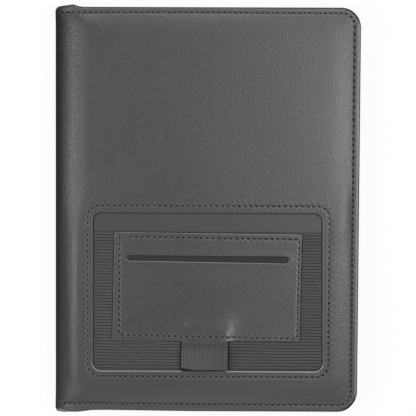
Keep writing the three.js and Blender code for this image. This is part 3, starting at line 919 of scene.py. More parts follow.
rollStart = (closed["rollX"] * mm, 0, closed["edgeZ"] * mm)
rollEnd = (closed["spineX"] * mm, 0, closed["rollZ"] * mm)
backRollStart = (rollStart[0], 0, (closed["thick"] - closed["edgeZ"]) * mm)
backRollEnd = (rollEnd[0], 0, (closed["thick"] - closed["rollZ"]) * mm)
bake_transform(frontLeather)
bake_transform(backLeather)
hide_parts("front_skin", "front_foam", "spine_skin")
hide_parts("back_skin", "back_foam")

# Trees that grow the repeated pieces

def newTree(name, inputs):
    tree = bpy.data.node_groups.new(name, "GeometryNodeTree")
    tree.interface.new_socket("Geometry", in_out="OUTPUT", socket_type="NodeSocketGeometry")
    tree.interface.new_socket("Geometry", in_out="INPUT", socket_type="NodeSocketGeometry")
    for label, kind in inputs.items():
        tree.interface.new_socket(label, in_out="INPUT", socket_type="NodeSocket" + kind)
    graph = Graph(tree)
    entry = tree.nodes.new("NodeGroupInput")
    return graph, {s.name: Wire(graph, s) for s in entry.outputs if s.name}


def grown(piece, tree, settings):
    work = piece.modifiers.new("growth", "NODES")
    work.node_group = tree
    for socket in tree.interface.items_tree:
        if socket.in_out == "INPUT" and socket.name in settings:
            work[socket.identifier] = settings[socket.name]
    return baked(piece)


def spot(graph, x=0.0, y=0.0, z=0.0):
    return graph.node("ShaderNodeCombineXYZ", {}, {0: x, 1: y, 2: z})


def dressed(graph, geometry, look):
    even = graph.node("GeometryNodeSetShadeSmooth", {}, {"Geometry": geometry})
    return graph.node("GeometryNodeSetMaterial", {}, {"Geometry": even, "Material": look})


def swept(graph, line, profile):
    values = {"Curve": line, "Profile Curve": profile, "Fill Caps": True}
    return graph.node("GeometryNodeCurveToMesh", {}, values)


def realized(graph, *geometries):
    joined = graph.tree.nodes.new("GeometryNodeJoinGeometry")
    for geometry in geometries:
        graph.tree.links.new(geometry.socket, joined.inputs[0])
    return graph.node("GeometryNodeRealizeInstances", {}, {"Geometry": Wire(graph, joined.outputs[0])})


def finishTree(graph, *geometries):
    out = graph.tree.nodes.new("NodeGroupOutput")
    graph.feed(out.inputs[0], realized(graph, *geometries))
    return graph.tree


def stitchSeamTree():
    # on each marked point either a needle hole or the thread between two holes
    graph, given = newTree("stitchSeam", {
        "Length": "Float", "Thickness": "Float", "Rise": "Float", "Sink": "Float", "Twist": "Float",
        "Hole Length": "Float", "Seed": "Int", "Thread": "Material", "Hole Shade": "Material"})
    reach = given["Length"] * 0.5
    arc = graph.node("GeometryNodeCurveQuadraticBezier", {}, {
        "Resolution": 6, "Start": spot(graph, reach * -1, 0, given["Sink"] * -1),
        "Middle": spot(graph, 0, 0, given["Rise"]), "End": spot(graph, reach, 0, given["Sink"] * -1)})
    share = graph.node("GeometryNodeSplineParameter")
    twisted = graph.node("GeometryNodeSetCurveTilt", {}, {"Curve": arc, "Tilt": share * given["Twist"]})
    ring = graph.node("GeometryNodeCurvePrimitiveCircle", {}, {"Resolution": 6, "Radius": 0.5})
    strand = graph.node("GeometryNodeTransform", {}, {
        "Geometry": ring, "Scale": spot(graph, given["Thickness"], given["Thickness"] * 0.72, 1)})
    thread = dressed(graph, swept(graph, twisted, strand), given["Thread"])
    # the pit is a dark flattened ball that paints the shade in the needle hole
    ball = graph.node("GeometryNodeMeshUVSphere", {}, {"Segments": 8, "Rings": 4, "Radius": 0.5})
    hollow = graph.node("GeometryNodeTransform", {}, {
        "Geometry": ball, "Translation": spot(graph, 0, 0, given["Sink"] * -0.8),
        "Scale": spot(graph, given["Hole Length"], given["Hole Length"] * 0.75, given["Sink"] * 1.9)})
    pit = dressed(graph, hollow, given["Hole Shade"])
    vector = {"data_type": "FLOAT_VECTOR"}
    along, up, hole = [
        graph.node("GeometryNodeInputNamedAttribute", kind, {"Name": label})
        for label, kind in (("along", vector), ("away", vector), ("hole", {"data_type": "FLOAT"}))]
    turn = graph.node("FunctionNodeAxesToRotation", {"primary_axis": "X", "secondary_axis": "Z"}, {
        "Primary Axis": along, "Secondary Axis": up})
    chance = graph.node("FunctionNodeRandomValue", vector, {
        0: (-0.1, -0.06, -0.12), 1: (0.1, 0.06, 0.12), "Seed": given["Seed"]})
    loose = graph.node("FunctionNodeRotateRotation", {"rotation_space": "LOCAL"}, {
        "Rotation": turn, "Rotate By": graph.node("FunctionNodeEulerToRotation", {}, {"Euler": chance})})
    size = graph.node("FunctionNodeRandomValue", vector, {
        0: (0.9, 0.85, 0.85), 1: (1.05, 1.12, 1.12), "Seed": given["Seed"] + 7})
    threads, holes = [graph.node("GeometryNodeInstanceOnPoints", {}, {
        "Points": given["Geometry"], "Selection": chosen, "Instance": form, "Rotation": loose,
        "Scale": size}) for chosen, form in ((1 - hole, thread), (hole, pit))]
    return finishTree(graph, threads, holes)


def ribbedElasticTree():
    # one rib sweeps along the given line and is repeated over a thin ply; all of it wavers a little
    graph, given = newTree("ribbedElastic", {
        "Count": "Int", "Spacing": "Vector", "Width": "Float", "Height": "Float", "Full Width": "Float",
        "Ply": "Float", "Ply Drop": "Float", "Waver": "Float", "Wavelength": "Float", "Look": "Material",
        "Groove Shade": "Material"})
    line = graph.node("GeometryNodeMeshToCurve", {}, {0: given["Geometry"]})
    ring = graph.node("GeometryNodeCurvePrimitiveCircle", {}, {"Resolution": 8, "Radius": 0.5})
    profile = graph.node("GeometryNodeTransform", {}, {
        "Geometry": ring, "Scale": spot(graph, given["Width"], given["Height"], 1)})
    rib = dressed(graph, swept(graph, line, profile), given["Look"])
    rows = graph.node("GeometryNodeMeshLine", {"mode": "OFFSET"}, {
        "Count": given["Count"], "Offset": given["Spacing"]})
    ribs = graph.node("GeometryNodeInstanceOnPoints", {}, {"Points": rows, "Instance": rib})
    slab = graph.node("GeometryNodeCurvePrimitiveQuadrilateral", {"mode": "RECTANGLE"}, {
        0: given["Full Width"], 1: given["Ply"]})
    sunk = graph.node("GeometryNodeTransform", {}, {
        "Geometry": slab, "Translation": spot(graph, 0, given["Ply Drop"], 0)})
    # the ply takes the darker groove look: painted shade between the ribs
    ply = graph.node("GeometryNodeSetMaterial", {}, {
        "Geometry": swept(graph, line, sunk), "Material": given["Groove Shade"]})
    middle = graph.vector("SCALE", given["Spacing"], scale=(given["Count"] - 1) * 0.5)
    placed = graph.node("GeometryNodeTransform", {}, {"Geometry": ply, "Translation": middle})
    here = graph.node("GeometryNodeInputPosition")
    noise = graph.noise(graph.vector("MULTIPLY", here, (1, 0.35, 0)), 1 / given["Wavelength"], 1.0)
    way = graph.vector("NORMALIZE", given["Spacing"])
    shift = graph.vector("SCALE", way, scale=(noise - 0.5) * given["Waver"])
    moved = graph.node("GeometryNodeSetPosition", {}, {
        "Geometry": realized(graph, ribs, placed), "Offset": shift})
    return finishTree(graph, moved)


def sheetStackTree():
    # sheets of paper lie on each other, and bend where they pass over the edge of the pocket
    graph, given = newTree("sheetStack", {
        "Count": "Int", "Width": "Float", "Length": "Float", "Paper": "Float", "Bottom": "Float",
        "Raised": "Float", "Top": "Float", "Bend At": "Float", "Middle": "Vector", "Slip": "Float",
        "Seed": "Int", "Look": "Material"})
    sheet = graph.node("GeometryNodeMeshCube", {}, {
        "Size": spot(graph, given["Width"], given["Length"], given["Paper"]),
        "Vertices X": 2, "Vertices Y": 60, "Vertices Z": 2})
    pile = graph.node("GeometryNodeMeshLine", {"mode": "OFFSET"}, {
        "Count": given["Count"], "Start Location": given["Middle"],
        "Offset": spot(graph, 0, 0, 1.0 / (given["Count"] - 1))})
    chance = graph.node("FunctionNodeRandomValue", {"data_type": "FLOAT_VECTOR"}, {
        0: (-1, -1, 0), 1: (1, 1, 0), "Seed": given["Seed"]})
    slid = graph.node("GeometryNodeSetPosition", {}, {
        "Geometry": pile, "Offset": graph.vector("SCALE", chance, scale=given["Slip"])})
    sheets = graph.node("GeometryNodeInstanceOnPoints", {}, {"Points": slid, "Instance": sheet})
    x, y, z = graph.parts(graph.node("GeometryNodeInputPosition"))
    share = (z - 0.5 * given["Paper"]).clamped()
    bendHalf = 4 * mm
    lower = graph.node("ShaderNodeMapRange", {"interpolation_type": "SMOOTHSTEP"}, {
        "Value": y, "From Min": given["Bend At"] - bendHalf, "From Max": given["Bend At"] + bendHalf,
        "To Min": given["Raised"], "To Max": given["Bottom"]})
    level = lower + share * (given["Top"] - lower) + (z - share)
    bent = graph.node("GeometryNodeSetPosition", {}, {
        "Geometry": realized(graph, sheets), "Position": spot(graph, x, y, level)})
    look = graph.node("GeometryNodeSetMaterial", {}, {"Geometry": bent, "Material": given["Look"]})
    return finishTree(graph, look)


trees = {"seam": stitchSeamTree(), "elastic": ribbedElasticTree(), "sheets": sheetStackTree()}
threadShape = {
    "length": 2.35,
    "thickness": 0.42,
    "rise": 0.5,
    "sink": 0.15,
    "twist": 2.4,
    "hole": 2.1,
    "flatter": {"Length": 0, "Thickness": 0.7, "Rise": 1, "Sink": 1, "Hole Length": 0.5},
}


def sewnSeam(name, runs, seed, closedLoop=False, flat=1.0):
    # the points of a run: a needle hole, the middle of a thread, a needle hole and so on;
    # a seam that is pressed flat has all its sizes but the length of its stitches smaller
    points, normals = (np.concatenate([run[k] for run in runs]) for k in (0, 1))
    if closedLoop:
        ahead = np.roll(points, -1, 0) - np.roll(points, 1, 0)
    else:
        ahead = np.concatenate([np.gradient(run[0], axis=0) for run in runs])
    piece = makePiece(name, points, [])
    for label, arrows in (("along", ahead), ("away", normals)):
        arrows = arrows / np.linalg.norm(arrows, axis=1)[:, None]
        layer = piece.data.attributes.new(label, "FLOAT_VECTOR", "POINT")
        layer.data.foreach_set("vector", arrows.astype(np.float32).ravel())
    holes = piece.data.attributes.new("hole", "FLOAT", "POINT")
    even = np.concatenate([np.arange(len(run[0])) % 2 == 0 for run in runs])
    holes.data.foreach_set("value", even.astype(np.float32))
    t = threadShape
    settings = {label: t[label.split()[0].lower()] * mm * flat ** power
                for label, power in t["flatter"].items()}
    settings.update({"Twist": t["twist"], "Seed": seed, "Thread": looks["thread"], "Hole Shade": looks["hole"]})
    return grown(piece, trees["seam"], settings)


def coverSeam(name, onFront):
    part, share, _ = coverSeamTrack.evenly(shape["stitch"] / 2, 2)
    s, y = coverSeamTrack.at(part, share).T
    points = outer.place(s, bulged(s, y), flared(s, y) - shape["dip"])
    normals = np.stack([np.interp(s, outer.along, outer.normal[:, 0]), np.zeros(len(s)),
                        np.interp(s, outer.along, outer.normal[:, 1])], 1)
    if not onFront:
        turnedOver(points)
        normals[:, 2] *= -1
    return sewnSeam(name, [(points, normals)], 3 if onFront else 8)


frontSeam = coverSeam("frontSeam", True)
backSeam = coverSeam("backSeam", False)
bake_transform(frontSeam)
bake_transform(backSeam)


def windowSeamPiece():
    track = windowTracks()[1]
    part, share, _ = track.evenly(windowShape["stitch"] / 2, 2)
    s, y = track.at(part, share).T
    rise = padRise(s, y) - windowEase(np.stack([s, y], 1)) - shape["dip"]
    points = outer.place(s, y, rise)
    return sewnSeam("windowSeam", [(points, upOrDown(len(s), 1.0))], 5, True)


windowSeam = windowSeamPiece()
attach(windowSeam, "front_cover")
print("cover seams sewn")

# The window: its backing, the elastic band, the card pocket and the pen loop

backingShape = {"overlap": 5.0, "thick": 0.5, "top": backingTopZ, "sag": 0.06}


def windowBackingPiece():
    b, w = backingShape, windowShape
    low, high = np.array(w["lip"][3]) - b["overlap"], np.array(w["lip"][1]) + b["overlap"]
    columns, rows = 56, 42
    x, y = gridPoints(low, high, columns, rows)
    z = b["top"] - b["sag"] * (1 + waves(x, y, 45, 12)) * 0.5
    backing = makePiece("windowBacking", np.stack([x, y, z], 1), gridFaces(rows, columns), looks["backing"])
    return thickened(backing, b["thick"])


windowBacking = windowBackingPiece()
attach(windowBacking, "front_cover")
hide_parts("pocket_backing")

shadowStripShape = {
    "out": {"left": 0.5, "right": 0.5, "head": 0.28, "foot": 0.4},
    "under": 0.7,
    "thick": 0.25,
    "lift": 0.02,
}


def shadowStripPiece(name, track, shift, inward, level, skip=None):
    # a dark strip just beyond a raised edge that paints the shade beside it, as if the cloth behind the
    # leather showed; shift is what the track adds to x
    h = shadowStripShape
    part, share, _ = track.evenly(0.8)
    line = track.at(part, share)
    side = leftOf(track, part, share) * inward
    facing = -side if inward < 0 else side
    out = [h["out"][k] for k in ("left", "right", "head", "foot")]
    weights = np.clip(np.stack([-facing[:, 0], facing[:, 0], facing[:, 1], -facing[:, 1]]), 0, 1) ** 2
    out = (np.array(out)[:, None] * weights).sum(0)[:, None]
    rings = [line - side * out, line - side * out * 0.5, line, line + side * h["under"]]
    count = len(line)
    flat = np.concatenate(rings)
    level = np.tile(level(line), 4)
    drop = np.repeat([0.12, 0.02, 0, 0], count)
    i = np.arange(count)
    j = (i + 1) % count
    kept = np.ones(count, bool) if skip is None else ~skip(line)
    i, j = i[kept], j[kept]
    corners = [i, i + count, j + count, j]
    faces = np.concatenate([np.stack(corners, 1) + k * count for k in range(3)])
    x, y = flat.T
    a, b, c = (flat[faces[0][k]] for k in range(3))
    turned = np.cross(b - a, c - a) < 0
    faces = faces[:, ::-1] if turned else faces
    points = np.stack([x - shift, y, level + h["thick"] + h["lift"] - drop], 1)
    return thickened(makePiece(name, points, faces, looks["hem"]), h["thick"])


windowShadowStrip = shadowStripPiece("windowShadowStrip", windowTracks()[0], outer.sAt(0.0), 1, lambda line: underLip(line[:, 1]))
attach(windowShadowStrip, "front_cover")

bandShape = {
    "left": -71.5,
    "right": 71.5,
    "fixedLeft": -67.0,
    "fixedRight": 67.6,
    "top": -12.8,
    "ribs": 45,
    "footRibs": 3,  # below the hinge line, under the window's lip
    "pitch": 1.78,
    "face": bandTopZ,
    "ply": 0.3,
    "plyDrop": 0.12,  # the line's own frame looks down
    "ribHigh": 0.56,
    "ribWide": 1.42,
    "waver": 0.5,
    "wavelength": 11.0,
}


def ribbedPiece(name, path, count, spacing, look, groove, **sizes):
    # ribs beside each other along a path, over a ply in a darker look that paints the shade between them;
    # the sizes are the tree's, in millimetres
    settings = {key.replace("_", " "): size * mm for key, size in sizes.items()}
    settings.update({"Count": count, "Spacing": tuple(v * mm for v in spacing), "Look": looks[look],
                     "Groove Shade": looks[groove]})
    line = makePiece(name, path, [], edges=[(i, i + 1) for i in range(len(path) - 1)])
    return grown(line, trees["elastic"], settings)


def elasticPiece(name, xFrom, xTo, steps, above=0, ribs=bandShape["ribs"]):
    b = bandShape
    first = b["top"] - b["pitch"] * (above + ribs - 0.5)
    path = [(x, first, b["face"] - b["ribHigh"] / 2) for x in np.linspace(xFrom, xTo, steps)]
    return ribbedPiece(name, path, ribs, (0, b["pitch"], 0), "band", "groove", Width=b["ribWide"],
                       Height=b["ribHigh"], Full_Width=ribs * b["pitch"], Ply=b["ply"],
                       Ply_Drop=b["plyDrop"], Waver=b["waver"], Wavelength=b["wavelength"])


patchShape = {
    "edge": [(-53.6, -13.0), (55.7, -13.8), (54.8, -76.5), (-54.7, -76.6)],
    "edgeRadius": 0.9,
    "seam": [(-50.6, -15.6), (54.0, -16.8), (53.2, -74.8), (-50.6, -73.1)],
    "seamRadius": 0.7,
    "seamGap": (-50.0, -45.5),  # along the head, where the row of stitches starts late
    "stitch": 3.45,
    "thick": 0.85,
    "top": 22.05,
    "round": 0.28,
    "slot": [(-46.4, -26.3), (48.4, -26.6), (48.4, -30.8), (-46.4, -29.7)],
    "slotRadii": [1.68, 2.08, 2.08, 1.68],
    "slotOut": 1.5,
    "slotMiddle": -28.2,
    "innerBy": 1.7,
    "tails": (-14.6, 13.4),
    "tailTop": -72.0,
    "tailRise": 0.45,
    "tailFade": 10.0,
    "ridge": {"x": 15.0, "y": -75.4, "height": 0.17, "wide": 4.0, "above": 7.0, "below": 3.0},
    "speck": {"x": -11.8, "y": -66.4, "height": 0.2, "spread": 0.5},
    "bow": 0.12,
    "rubbedAndHighlit": [(12.9, -71.9, 0.85, 1.1, 0.7), (15.8, -66.5, 4.2, 5.0, 0.11), (13.4, -75.6, 2.6, 0.5, 0.45),
               (-11.8, -66.4, 0.7, 0.7, 0.2)],  # painted highlights where the pucker and speck catch the light: x, y, half width, half height, share
}
# the band is parted where it goes under the pocket, so that its middle lifts with it
underLeft, underRight = patchShape["edge"][3][0] + 2, patchShape["edge"][2][0] - 2
bandLeft = elasticPiece("bandLeft", bandShape["left"], underLeft, 15)
bandCentre = elasticPiece("bandCentre", underLeft, underRight, 60)
bandRight = elasticPiece("bandRight", underRight, bandShape["right"], 15)
underLeft * mm
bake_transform(bandLeft)
underRight * mm
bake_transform(bandRight)
bandFoot = elasticPiece(
    "bandFoot", bandShape["left"], bandShape["right"], 90, bandShape["ribs"], bandShape["footRibs"])
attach(bandCentre, "card_holder")
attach(bandFoot, "front_cover")
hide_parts("elastic_band")
print("elastic band grown")


def patchRise(x, y):
    # how the pocket lies over the loop's tails, with the pucker beside them
    p = patchShape
    low, high = p["tails"]
    across = smooth((x - low + 9) / 9) * (1 - smooth((x - high) / 3.0))
    over = p["tailRise"] * across * (1 - smooth((y - p["tailTop"]) / p["tailFade"]))
    r, k = p["ridge"], p["speck"]
    high = np.where(y > r["y"], r["above"], r["below"])
    crease = r["height"] * np.exp(-((x - r["x"]) / r["wide"]) ** 2 - ((y - r["y"]) / high) ** 2)
    speck = k["height"] * np.exp(-((x - k["x"]) ** 2 + (y - k["y"]) ** 2) / k["spread"])
    bow = p["bow"] * waves(x, y, 38, 21)
    return over + crease + speck + bow * smooth((np.abs(y - p["slotMiddle"]) - 2) / 8)


def patchTracks():
    p = patchShape
    return [Track(p["edge"], [p["edgeRadius"]] * 4, True), Track(p["seam"], [p["seamRadius"]] * 4, True),
            Track(widened(p["seam"], -p["innerBy"]), [0.5] * 4, True)]


def roundedEdge(radius, usual, drop):
    return [(0, drop, None)] + [(reach / usual, down, None) for reach, down in quarterRound(radius, 5)]


def startsLate(x, y):
    # where the row of stitches along the head hasn't begun
    low, high = patchShape["seamGap"]
    return (y > patchShape["seam"][0][1] - 2) & (x > low) & (x < high)


def cardPatchPiece():
    p = patchShape
    plan = Plan()
    tracks = patchTracks()
    part, share, along = tracks[1].evenly(p["stitch"] / 4, 4)
    pitch = tracks[1].lengths.sum() / len(along) * 4
    usual = 2.6
    places = roundedEdge(p["round"], usual, p["thick"] * 0.8)
    places += [(mix, 0, (mix - 1) * usual) for mix in (0.35, 0.55, 0.7, 0.8, 0.9, 1.0)]
    places += [(1 + step / p["innerBy"], 0, step) for step in (0.25, 0.5, 0.8, 1.2, p["innerBy"])]
    rim = ringsOf(plan, tracks, part, share, along, places, kind=1)
    slotTracks = [Track(p["slot"], p["slotRadii"], True),
                  Track(widened(p["slot"], p["slotOut"]), [r + p["slotOut"] for r in p["slotRadii"]], True)]
    slotPart, slotShare, slotAlong = slotTracks[0].evenly(0.9)
    places = roundedEdge(p["round"], p["slotOut"], p["thick"] * 0.9)
    places += [(mix, 0, None) for mix in (0.3, 0.55, 1.0)]
    slotRim = ringsOf(plan, slotTracks, slotPart, slotShare, slotAlong, places, kind=2)
    everyone = np.concatenate(plan.spots)
    outline, hole = everyone[rim], everyone[slotRim]
    room = 0.8
    spots = roomFor(hexGrid(outline.min(0) + 1, outline.max(0) - 1, 1.5), outline, room)
    spots = spots[~insideTrack(spots, hole) & (away(spots, hole) > room)]
    plan.fill([rim, slotRim], spots, lambda c: insideTrack(c, outline) & ~insideTrack(c, hole))
    flat, drop, along, across, kind = plan.done()
    x, y = flat.T
    across = np.where(startsLate(x, y), np.nan, across)
    slotLift = 0.1 * (kind == 2) * (drop < p["round"])
    z = p["top"] + patchRise(x, y) + seamRelief(along, across, pitch) * 0.8 + slotLift - drop
    # painted highlights where the pucker and speck catch the light
    rubbedAndHighlit = sum(share * np.exp(-((x - atX) / wide) ** 2 - ((y - atY) / high) ** 2)
                 for atX, atY, wide, high, share in p["rubbedAndHighlit"])
    # painted highlight on the pocket's head edge and the slot's lower edge, which face the head lamp; a
    # little on the other edges
    edges = np.where(y > -16, 0.7, np.where((kind == 2) & (y < -28), 0.8, 0.25))
    wear = np.clip((drop > 0) * edges + paintedHalo(along, across, pitch) + rubbedAndHighlit, 0, 1)
    piece = makePiece("cardPatch", np.stack([x, y, z], 1), plan.faces, looks["patch"], wear=wear)
    return thickened(piece, p["thick"])


def patchSeamPiece():
    p = patchShape
    track = patchTracks()[1]
    part, share, _ = track.evenly(p["stitch"] / 2, 2)
    x, y = track.at(part, share).T
    z = p["top"] + patchRise(x, y) - shape["dip"] * 0.8
    gap = startsLate(x, y)
    first = int(np.argmax(gap))
    order = [i % len(x) for i in range(first, first + len(x))]
    order = [i for i in order if not gap[i]]
    order = order if order[0] % 2 == 0 else order[1:]
    points = np.stack([x, y, z], 1)[order]
    return sewnSeam("patchSeam", [(points, upOrDown(len(points), 1.0))], 6)


def besideLoop(line):
    low, high = patchShape["tails"]
    return (line[:, 1] < patchShape["edge"][2][1] + 2) & (line[:, 0] > low - 0.6) & (line[:, 0] < high + 0.4)


def pocketBackPiece():
    # the pocket's back ply lies on the band and shows in the slot, in a darker copy of the elastic that
    # paints the slot's shade
    ribs, pitch, first = 44, 1.3, patchShape["edge"][3][1] + 2.5
    path = [(x, first, bandTopZ + 0.05) for x in np.linspace(underLeft, underRight, 50)]
    return ribbedPiece("pocketBack", path, ribs, (0, pitch, 0), "shaded", "groove", Width=pitch * 1.02,
                       Height=0.07, Full_Width=ribs * pitch, Ply=0.03, Ply_Drop=0.01, Waver=0.35,
                       Wavelength=12)


pocketBack = pocketBackPiece()
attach(pocketBack, "card_holder")
cardPatch = cardPatchPiece()
# a dark strip round the pocket that paints its shadow on the band
patchShadowStrip = shadowStripPiece("patchShadowStrip", patchTracks()[0], 0.0, -1, lambda line: np.full(len(line), bandTopZ),
                    besideLoop)
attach(patchShadowStrip, "card_holder")
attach(cardPatch, "card_holder")
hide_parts("card_pocket")
patchSeam = patchSeamPiece()
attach(patchSeam, "card_holder")
print("card pocket sewn")

loopShape = {
    "left": -14.0,
    "right": 12.8,
    "ribs": 23,
    "mouth": -76.9,
    "tail": -72.9,
    "back": 21.15,
    "ply": 0.6,
    "front": 26.3,
    "shoulder": 6.0,
    "fold": -93.35,
    "ribHigh": 0.5,
    "waver": 0.25,
    "wavelength": 9.0,
    # the tape is a dark strip that paints the loop's shadow beside it and under its fold
    "tape": {"left": -14.9, "right": 13.9, "foot": -93.9, "thick": 0.1},
    "slack": 0.85,  # how far the left end of the fold is drawn up
}


def penLoopPiece():
    # a strip that comes out from under the pocket, goes round a pen and back again
    p = loopShape
    half = p["ply"] / 2
    low, top = p["back"] + half, p["front"] - half
    r = (top - low) / 2
    foldY = p["fold"] + half + r
    upper = p["back"] + p["ply"] * 1.1
    path = [(p["tail"], upper), (p["tail"] - 2, upper), (p["mouth"], upper)]
    a, b = np.array((p["mouth"], upper)), np.array((p["mouth"] - p["shoulder"], top))
    c, d = a - (p["shoulder"] * 0.35, 0), np.array((p["mouth"] - p["shoulder"] * 0.45, top))
    for k in np.linspace(0, 1, 14)[1:]:
        pulled = 3 * c * k * (1 - k) ** 2 + 3 * d * k ** 2 * (1 - k)
        path.append(tuple(a * (1 - k) ** 3 + pulled + b * k ** 3))
    path += [(y, top) for y in np.linspace(b[0], foldY, 6)[1:]]
    path += [(foldY + r * math.cos(g), low + r + r * math.sin(g))
             for g in np.linspace(0.5, 1.5, 18)[1:] * math.pi]
    path += [(y, low) for y in np.linspace(foldY, p["tail"], 9)[1:]]
    width = p["right"] - p["left"]
    pitch = width / p["ribs"]
    path = [(p["left"] + pitch / 2, y, z) for y, z in path]
    loop = ribbedPiece("penLoop", path, p["ribs"], (pitch, 0, 0), "loop", "loopGrooveShade", Width=pitch,
                       Height=p["ribHigh"], Full_Width=width * 0.97, Ply=p["ply"] * 0.6, Ply_Drop=0.0,
                       Waver=p["waver"], Wavelength=p["wavelength"])
    spots = np.zeros(len(loop.data.vertices) * 3, np.float32)
    loop.data.vertices.foreach_get("co", spots)
    x, y = spots[0::3] / mm, spots[1::3] / mm
    near = smooth(1 - (y - p["fold"]) / 7)
    drawn = p["slack"] * (1 - smooth((x - p["left"]) / 10)) + 0.12 * np.sin(x / 3.1)
    spots[1::3] += near * drawn * mm
    loop.data.vertices.foreach_set("co", spots)
    return loop


def loopShadowTapePiece():
    # a dark strip behind the loop, showing a little beside it and at its foot, that paints the loop's shadow
    # there
    h = loopShape["tape"]
    columns, rows = 36, 16
    x, y = gridPoints((h["left"], h["foot"]), (h["right"], loopShape["tail"]), columns, rows)
    near = smooth(1 - (y - h["foot"]) / 4)
    y = y - near * (0.35 * smooth((x - h["left"] - 2) / 12) + 0.15 * np.sin(x / 2.3))
    z = np.full(len(x), bandTopZ + 0.03 + h["thick"])
    tape = makePiece("loopShadowTape", np.stack([x, y, z], 1), gridFaces(rows, columns), looks["hem"])
    return thickened(tape, h["thick"])


loopShadowTape = loopShadowTapePiece()
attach(loopShadowTape, "card_holder")
penLoop = penLoopPiece()
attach(penLoop, "card_holder")
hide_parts("pen_loop")
print("pen loop folded")

# The inside: linings, pockets and pad

innerShape = {
    "face": closed["thick"] - 4.9,  # inner face of the front cover
    "lining": 0.5,
    "rollInner": 4.2,
    "flatFrom": -77.5,
    "inset": 1.6,
    "corner": 10.4,
}


def innerSection():
    # the lining's face from the middle of the spine to the free edge, seen from inside
    i, c = innerShape, closed
    x, z, radius = c["rollX"], c["rollZ"], i["rollInner"]
    line = [(x - radius, height) for height in np.linspace(c["middle"], z, 5)[:-1]]
    line += [(x + radius * np.cos(a), z + radius * np.sin(a)) for a in np.linspace(math.pi, math.pi / 2, 14)]
    line += [(x + (i["flatFrom"] - x) * t, z + radius + (i["face"] - z - radius) * smooth(t))
             for t in np.linspace(0, 1, 10)[1:]]
    line += [(flatX, i["face"]) for flatX in np.linspace(i["flatFrom"], c["freeX"] - i["inset"], 50)[1:]]
    return Section(line)


inner = innerSection()


def liningPiece(name, onFront):
    i = innerShape
    half = closed["halfY"] - i["inset"]
    end = inner.along[-1]

    def rim(by):
        corners = [(0, -half + by), (end - by, -half + by), (end - by, half - by), (0, half - by)]
        return Track(corners, [0, i["corner"] - by, i["corner"] - by, 0])

    tracks = [rim(0), rim(1.2)]
    part, share, along = tracks[0].evenly(2.2)
    plan = Plan()
    places = [(0, 0.3, None), (0.06, 0.1, None), (0.2, 0, None), (1.0, 0, None)]
    border = closedAtSpine(plan, ringsOf(plan, tracks, part, share, along, places, closedLoop=False), 100)
    outline = np.concatenate(plan.spots)[border]
    bend = inner.sAt(i["flatFrom"]) + 1
    close = spineGrid(bend, 0.7, -half + 2.5, half - 2)
    spots = np.concatenate([close, hexGrid((bend + 1, -half), (end, half), 4.0)])
    plan.fill([border], roomFor(spots, outline, 1.0), lambda c: insideTrack(c, outline))
    flat, drop, _, _, _ = plan.done()
    s, y = flat.T
    loose = smooth(1 - np.abs(s - bend * 0.5) / (bend * 0.6)) * smooth((half - np.abs(y)) / 12)
    rise = 0.03 * waves(s, y, 60, 31) - 0.25 * loose * (0.5 + 0.5 * waves(s * 0.2, y, 26, 33))
    points = inner.place(s, y, rise + drop)
    faces = [f[::-1] for f in plan.faces]
    if not onFront:
        turnedOver(points)
        faces = plan.faces
    return thickened(makePiece(name, points, faces, looks["lining"]), i["lining"] * 0.94)


liningStart = (closed["rollX"] * mm, 0, (closed["rollZ"] + innerShape["rollInner"]) * mm)
liningEnd = ((closed["rollX"] - innerShape["rollInner"]) * mm, 0, closed["rollZ"] * mm)
frontLining = liningPiece("frontLining", True)
backLining = liningPiece("backLining", False)
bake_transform(frontLining)
closed["thick"] * mm - liningStart[2]
closed["thick"] * mm - liningEnd[2]
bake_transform(backLining)
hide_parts("front_lining", "spine_lining")
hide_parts("back_lining")
for lining, board in ((frontLining, "front_board"), (backLining, "back_board")):
    2 * (closed["halfY"] - innerShape["inset"]) * mm
print("linings laid")


def flatPanel(name, corners, radii, level, thickness, look, facing=1, step=4.0, hem=0.25):
    # a cloth panel with rounded edges; level gives its face's height at x and y
    edge = Track(corners, radii, True)
    part, share, _ = edge.evenly(1.6)
    ring = edge.at(part, share)
    area = (ring[:, 0] * np.roll(ring[:, 1], -1) - np.roll(ring[:, 0], -1) * ring[:, 1]).sum()
    inward = leftOf(edge, part, share) * (1 if area > 0 else -1)
    plan = Plan()
    rings = [plan.add(ring + inward * inset, drop) for inset, drop in quarterRound(hem, 4) + [(0.8, 0)]]
    plan.weave(rings, True)
    outline = np.concatenate(plan.spots)[rings[-1]]
    spots = roomFor(hexGrid(outline.min(0), outline.max(0), step), outline, step * 0.4)
    plan.fill([rings[-1]], spots, lambda c: insideTrack(c, outline))
    flat, drop, _, _, _ = plan.done()
    x, y = flat.T
    points = np.stack([x, y, level(x, y) - drop * facing], 1)
    faces = plan.faces if facing > 0 else [f[::-1] for f in plan.faces]
    return thickened(makePiece(name, points, faces, looks[look]), thickness)


def straightSeam(start, end, level, step=3.5):
    # one run of stitches seen from below
    start, end = np.array(start, float), np.array(end, float)
    count = 2 * round(np.linalg.norm(end - start) / step) + 1
    xy = start + (end - start) * np.linspace(0, 1, count)[:, None]
    z = level(xy[:, 0], xy[:, 1])
    points = np.stack([xy[:, 0], xy[:, 1], z], 1)
    return points, upOrDown(count, -1.0)


documentLow, documentHigh = spanOf("document_pocket")
notch = {"x": 7.2, "r": 11.0}


def documentLevel(x, y):
    low, high = documentLow, documentHigh
    belly = smooth((x - low[0]) / 30) * smooth((high[0] - x) / 30) * smooth((y - low[1]) / 40)
    return low[2] + 0.06 * belly * waves(x, y, 50, 41)


